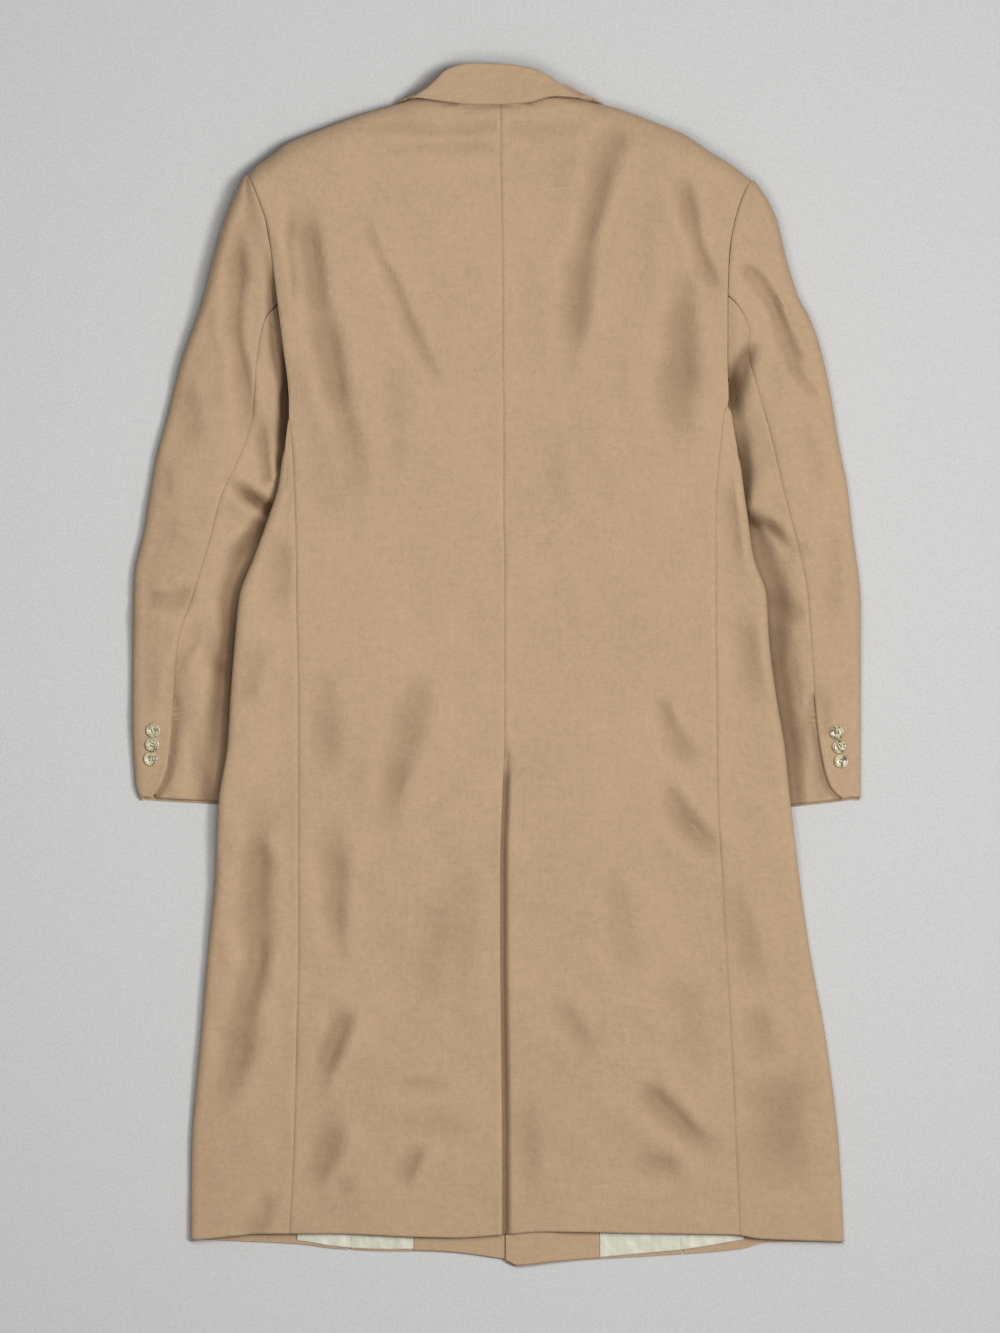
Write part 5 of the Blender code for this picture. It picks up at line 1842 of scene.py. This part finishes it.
@dataclass
class Collar:
    """The collar's fall, roll and stand in one folded piece."""

    wool: Material
    stations: tuple[Station, ...] = COLLAR
    radius: float = 3.0
    edge_roll: float = 1.8
    bulge: float = 0.9

    def build(self) -> Object:
        """Sweeps the collar through its stations.

        Returns:
            The collar.
        """
        count = len(self.stations)
        tracks = {
            part: [Track(range(count), line) for line in zip(*points)]
            for part, points in zip(Station._fields, zip(*self.stations))
        }

        def surface(u: Array, v: Array) -> Places:
            """Places for u from the fall's edge over to the stand's, and v round the neck."""
            fall, top, stand = (
                np.stack([line(v) for line in tracks[part]], axis=-1) for part in Station._fields
            )
            along = top - (fall + stand) / 2
            along /= np.linalg.norm(along, axis=-1, keepdims=True)
            up = fall - stand
            up -= (up * along).sum(axis=-1, keepdims=True) * along
            up /= np.linalg.norm(up, axis=-1, keepdims=True)
            middle = top - along * self.radius
            over, turn, under = (stage[..., None] for stage in stages(u))
            angle = turn * math.pi
            rolled = middle + self.radius * (np.cos(angle) * up + np.sin(angle) * along)
            crest = middle + up * self.radius
            upper = mix(fall, crest, over)
            from_edge = np.linalg.norm(upper - fall, axis=-1)
            bulge = self.bulge * np.sin(math.pi * over[..., 0]) * ease(2, 12, fall[..., 2])
            drop = rolled_edge(from_edge, self.edge_roll) - bulge
            upper = upper - up * drop[..., None]
            lower = mix(middle - up * self.radius, stand, under)
            u = u[..., None]
            place = np.where(u < 1, upper, np.where(u > 2, lower, rolled))
            return place[..., 0], place[..., 1], place[..., 2]

        return ClothPiece(
            name="collar",
            columns=round_fold((45.0, 2.6), (9.5, 1.3), (30.0, 3.0)),
            rows=np.linspace(0, count - 1, 150),
            surface=surface,
            finish=self.wool,
            flat=(0.11, 0.52),
            rests_on=("back_left", "back_right"),
            area=0.032,
            faces_up=False,
        ).build()


@dataclass
class HemStrips:
    """The facings and the lining, where the fronts' hem shows below the back's."""

    body: BodyShape
    wool: Material
    satin: Material

    def build(self) -> list[Object]:
        """Makes the two facings and the two stretches of lining."""
        left, right = self.body.left, self.body.right
        edge = CLOTHS.front_edge
        return [
            self.strip("facing_left", left, (-84, edge - 0.6), (1.0, 1.0), False),
            self.strip("facing_right", right, (edge + 0.6, 105), (1.0, 1.0), False),
            self.strip("lining_left", left, (-148, -84.6), (1.6, 2.0), True),
            self.strip("lining_right", right, (105.6, 188), (1.6, 4.2), True),
            self.strip("side_lining_left", left, (-203, -148.2), (3.4, 1.6), True),
            self.strip("side_lining_right", right, (188.2, 252), (4.2, 9.5), True),
        ]

    def strip(self, name: str, side: CoatSide, ends: Pair, drops: Pair, satin: bool) -> Object:
        """Makes one strip.

        Args:
            name: the strip's node.
            side: the front that it lies on.
            ends: its first and last x at the hem.
            drops: how far it stops short of the hem at its first and its last x.
            satin: whether it is lining.

        Returns:
            The strip.
        """
        body = self.body
        beside = name.startswith("side")
        wall = CLOTHS.lining if satin else CLOTHS.facing
        ruffle = Drift(0.5, 12, 34, 61)

        def surface(u: Array, v: Array) -> Places:
            """Places for shares u along the hem and v up from it."""
            x = mix(ends[0], ends[1], u)
            hem = body.front_hem(x) + mix(drops[0], drops[1], u)
            y = mix(hem, hem + CLOTHS.shown_depth, v)
            z = body.base(x, y) + body.front_lift(side, x, y) + CLOTHS.wool + CLOTHS.layer + wall
            if satin:
                z = z + np.clip(ruffle.raises(x * 1.6, y) + 0.35, 0, 1.2)
                z = z - rolled_edge(y - hem, 0.9) - 0.7 * bell(x + 105, 2.2)
            else:
                z = z - rolled_edge(y - hem, 1.4)
            return x, y, z

        return ClothPiece(
            name=name,
            columns=spaced(0, 1, ends[1] - ends[0], 1.8 if satin else 3.0, "both"),
            rows=spaced(0, 1, CLOTHS.shown_depth, 1.8 if satin else 3.0, "first"),
            surface=surface,
            wall=wall,
            finish=self.satin if satin else self.wool,
            slot="ivory_satin_lining" if satin else "camel_wool",
            flat=((ends[1] - ends[0]) * MM, CLOTHS.shown_depth * MM),
            rests_on=(name[:4] + "_" + side.name,) if beside else ("front_" + side.name,),
            replaces=not beside,
        ).build()


class ButtonSpot(NamedTuple):
    """Where a sleeve button sits, and how far it is turned."""

    x: float
    y: float
    turn: float


@dataclass
class SleeveButtons:
    """Four-hole horn buttons with a rim, sewn on over short thread shanks."""

    sleeve: SleeveShape
    spots: tuple[ButtonSpot, ...]
    horn: Material
    thread: Material
    width: float = 14.2
    thick: float = 2.6
    gap: float = 0.6
    hole: float = 0.75
    hole_from_centre: float = 1.55
    dish: float = 1.02
    sharp: float = math.radians(40)
    thread_width: float = 0.62

    def build(self) -> list[Object]:
        """Makes each button and its thread."""
        return [self.button(number, spot) for number, spot in enumerate(self.spots, start=1)]

    def button(self, number: int, spot: ButtonSpot) -> Object:
        """Makes one button with its thread.

        Args:
            number: its number, from the elbow down.
            spot: where it sits.

        Returns:
            The button.
        """
        side = self.sleeve.side
        node = f"cuff_button_{side.name}_{number}"
        place = self.placed(spot)
        blank = self.spun()
        blank.transform(place)
        obj = self.add(node + "_horn", blank, self.horn)
        self.drill(obj, place)
        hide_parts(node)
        sewing = self.stitches()
        sewing.transform(place)
        thread = self.add(node + "_thread", sewing, self.thread)
        return obj

    def placed(self, spot: ButtonSpot) -> Matrix:
        """The button's place: it lies on the sleeve, leaning as the sleeve does.

        Args:
            spot: where it sits.

        Returns:
            The matrix from the button's own axes.
        """
        places = np.array([spot.x - self.width / 2, spot.x, spot.x + self.width / 2])
        low, middle, high = self.sleeve.top(places, np.full(3, spot.y)).tolist()
        lean = math.atan2(high - low, self.width)
        height = max((low + high) / 2, middle) + self.gap + self.thick / 2
        shift = Matrix.Translation((spot.x * MM, spot.y * MM, height * MM))
        return shift @ Matrix.Rotation(-lean, 4, "Y") @ Matrix.Rotation(spot.turn, 4, "Z")

    def add(self, name: str, shape: Shape, finish: Material) -> Object:
        """Puts a shape into the scene, riding on the coat.

        Args:
            name: the new object's name.
            shape: the bmesh, which is freed.
            finish: its material.

        Returns:
            The object.
        """
        mesh = meshed(name, shape)
        mesh.shade_smooth()
        mesh.materials.append(finish)
        obj = linked(name, mesh)
        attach(obj, "root")
        LOG.info("%s: %d faces", name, len(mesh.polygons))
        return obj

    def spun(self) -> Shape:
        """The button's blank: its section spun round its axis.

        Returns:
            The closed shape, centred on its own axes.
        """
        half, reach = self.thick / 2, self.width / 2
        section = (
            (0.0, -half), (reach - 1.9, -half), (reach - 0.8, -half + 0.35),
            (reach - 0.12, -half + 1.15), (reach, half - 0.85), (reach - 0.25, half - 0.25),
            (reach - 0.75, half), (reach - 1.35, half - 0.1), (reach - 1.8, half - 0.55),
            (reach - 2.5, half - 0.85), (reach - 4.0, half - 0.98), (0.0, half - self.dish),
        )
        shape = bmesh.new()
        verts = [shape.verts.new((r * MM, 0, z * MM)) for r, z in section]
        edges = [shape.edges.new(pair) for pair in zip(verts, verts[1:])]
        sweep = {"axis": (0, 0, 1), "angle": 2 * math.pi, "steps": 48, "use_merge": True}
        bmesh.ops.spin(shape, geom=verts + edges, cent=(0, 0, 0), **sweep)
        bmesh.ops.remove_doubles(shape, verts=shape.verts, dist=1e-6)
        bmesh.ops.recalc_face_normals(shape, faces=shape.faces)
        return shape

    def hole_places(self) -> list[Pair]:
        """The four holes' places on the button."""
        away = self.hole_from_centre
        return [(away, away), (-away, away), (-away, -away), (away, -away)]

    def rod(self, shape: Shape, sides: int, radii: Pair, length: float, place: Triple) -> None:
        """Adds an upright rod to a shape.

        Args:
            shape: the shape.
            sides: how many sides the rod has.
            radii: its lower and its upper radius.
            length: its length.
            place: its middle.
        """
        low, high = radii
        size = {"radius1": low * MM, "radius2": high * MM, "depth": length * MM}
        middle = Matrix.Translation(Vector(place) * MM)
        bmesh.ops.create_cone(shape, cap_ends=True, segments=sides, matrix=middle, **size)

    def drill(self, obj: Object, place: Matrix) -> None:
        """Cuts the four holes through the button.

        Args:
            obj: the button.
            place: its place.
        """
        bits = bmesh.new()
        for x, y in self.hole_places():
            self.rod(bits, 16, (self.hole, self.hole), self.thick * 3, (x, y, 0))
        bits.transform(place)
        cutter = linked("bits", meshed("bits", bits))
        cut = obj.modifiers.new("holes", "BOOLEAN")
        cut.object = cutter
        cut.operation = "DIFFERENCE"
        cut.solver = "EXACT"
        settled(obj).set_sharp_from_angle(angle=self.sharp)
        bpy.data.objects.remove(cutter)

    def stitches(self) -> Shape:
        """Two runs of thread over the button between its holes, and the shank beneath.

        Returns:
            The shape on the button's own axes.
        """
        shape = bmesh.new()
        away, half = self.hole_from_centre, self.thick / 2
        dished = half - self.dish
        for x in (-away, away):
            for offset in (-0.3, 0.3):
                self.loop(shape, x + offset, away, dished)
        self.rod(shape, 12, (1.5, 1.1), self.gap + 0.5, (0, 0, -half - self.gap / 2))
        bmesh.ops.recalc_face_normals(shape, faces=shape.faces)
        return shape

    def loop(self, shape: Shape, x: float, away: float, dished: float) -> None:
        """One strand of thread, up through a hole, over and down through the next.

        Args:
            shape: the bmesh that it is added to.
            x: the strand's place across the button.
            away: the holes' distance from the middle.
            dished: height of the button's dished face.
        """
        radius = self.thread_width / 2 * MM
        verts = bmesh.ops.create_circle(shape, cap_ends=True, segments=8, radius=radius)["verts"]
        bmesh.ops.translate(shape, verts=verts, vec=(x * MM, -away * MM, (dished - 0.9) * MM))
        face = next(f for f in shape.faces if set(f.verts) == set(verts))
        steps = 12
        for step in range(steps):
            made = bmesh.ops.extrude_face_region(shape, geom=[face], use_keep_orig=step == 0)
            ring = [item for item in made["geom"] if isinstance(item, bmesh.types.BMVert)]
            angle = math.pi * ((step + 1) / steps)
            height = dished - 0.9 + 1.35 * math.sin(angle) ** 0.6
            target = Vector((x, -away * math.cos(angle), height))
            middle = sum((v.co for v in ring), Vector()) / len(ring)
            bmesh.ops.translate(shape, verts=ring, vec=target * MM - middle)
            turn = Matrix.Rotation(math.pi / steps, 4, "X")
            bmesh.ops.rotate(shape, verts=ring, cent=target * MM, matrix=turn)
            face = next(item for item in made["geom"] if isinstance(item, bmesh.types.BMFace))


class Tone(Enum):
    """The studio's painted surfaces."""

    FLOOR = (0.60, 0.605, 0.61)
    DAYLIGHT = (1.0, 0.99, 0.975)


@dataclass
class Studio:
    """A plain pale floor, soft light and a camera straight above."""

    camera_height: float = 8.5
    photo_height: int = 1333
    pixel: float = 1.02
    floor_size: float = 6.0
    floor_drop: float = 0.0004
    centre: Pair = (0.0035, -0.001)
    sensor: float = 36.0

    def build(self) -> None:
        """Makes the floor, the lights and the camera."""
        self.floor()
        self.lights()
        self.camera()

    def floor(self) -> None:
        """The floor: one wide plane just under the coat."""
        plane = bmesh.new()
        bmesh.ops.create_grid(plane, x_segments=1, y_segments=1, size=self.floor_size)
        bmesh.ops.translate(plane, verts=plane.verts, vec=(0, 0, -self.floor_drop))
        obj = linked("floor", meshed("floor", plane))
        bench = NodeBench("studio_floor")
        where = bench.on_object()
        speckle = bench.noise(where, 420.0, 2.0)
        paint = Tone.FLOOR.value
        ends = ((0.3, scaled(paint, 0.93)), (0.7, scaled(paint, 1.05)))
        bench.feed(bench.ramp(speckle, ends), "Base Color")
        bench.sets(Roughness=0.95)
        obj.data.materials.append(bench.material)

    def lights(self) -> None:
        """A soft key light from the right, a fill above the middle, and pale surroundings."""
        self.area("key", (2.6, 0.37, 4.95), 1.35, 166.0)
        self.area("top", (0.0, 0.12, 1.75), 0.8, 13.0)
        world = bpy.data.worlds.new("studio")
        world.use_nodes = True
        sky = world.node_tree.nodes["Background"].inputs
        sky["Color"].default_value = (*Tone.DAYLIGHT.value, 1)
        sky["Strength"].default_value = 0.2
        bpy.context.scene.world = world
        bpy.context.scene.view_settings.view_transform = "Standard"

    def area(self, name: str, place: Triple, size: float, power: float) -> None:
        """One soft box that faces the coat's middle.

        Args:
            name: the light's name.
            place: where it stands.
            size: its side.
            power: its power in watts.
        """
        lamp = bpy.data.lights.new(name, "AREA")
        lamp.size = size
        lamp.energy = power
        lamp.color = Tone.DAYLIGHT.value
        obj = linked(name, lamp)
        obj.location = place
        obj.rotation_euler = (-Vector(place)).to_track_quat("-Z", "Y").to_euler()

    def camera(self) -> None:
        """The camera: straight down, framed on the whole coat."""
        data = bpy.data.cameras.new("camera")
        data.sensor_width = self.sensor
        view_height = self.photo_height * self.pixel * MM
        data.lens = self.sensor * self.camera_height / view_height
        obj = linked("camera", data)
        obj.location = (*self.centre, self.camera_height)
        bpy.context.scene.camera = obj


LEFT_SPOTS = table(ButtonSpot, (-349.5, -66.0, 0.3), (-350.5, -80.6, 1.1), (-352.0, -95.2, 0.1))
RIGHT_SPOTS = table(ButtonSpot, (346.5, -68.0, 0.2), (349.0, -82.6, 0.7), (351.0, -97.2, 1.3))
LEFT_LINES = (LEFT_ARMHOLE, LEFT_FRONT_SEAM, LEFT_OUTER, LEFT_ELBOW, LEFT_INSEAM, LEFT_INNER)
RIGHT_LINES = (RIGHT_ARMHOLE, RIGHT_FRONT_SEAM, RIGHT_OUTER, RIGHT_ELBOW, RIGHT_INSEAM, RIGHT_INNER)


def main() -> None:
    """Dresses the coat, piece by piece, and lights it."""
    logging.basicConfig(level=logging.INFO, format="%(message)s")
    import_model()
    wool = WoolCoating().material()
    satin = SatinLining().material()
    horn = HornBlank().material()
    thread = ButtonThread().material()
    left = CoatSide("left", -1, LEFT_LINES)
    right = CoatSide("right", 1, RIGHT_LINES)
    body = BodyShape(left, right)
    Studio().build()
    BackPanels(body, wool).build()
    SidePanels(body, wool).build()
    Fronts(body, wool).build()
    for side, spots in ((left, LEFT_SPOTS), (right, RIGHT_SPOTS)):
        shape = SleeveShape(side)
        Sleeve(shape, wool).build()
        SleeveButtons(shape, spots, horn, thread).build()
    Collar(wool).build()
    HemStrips(body, wool, satin).build()


if __name__ == "__main__":
    main()
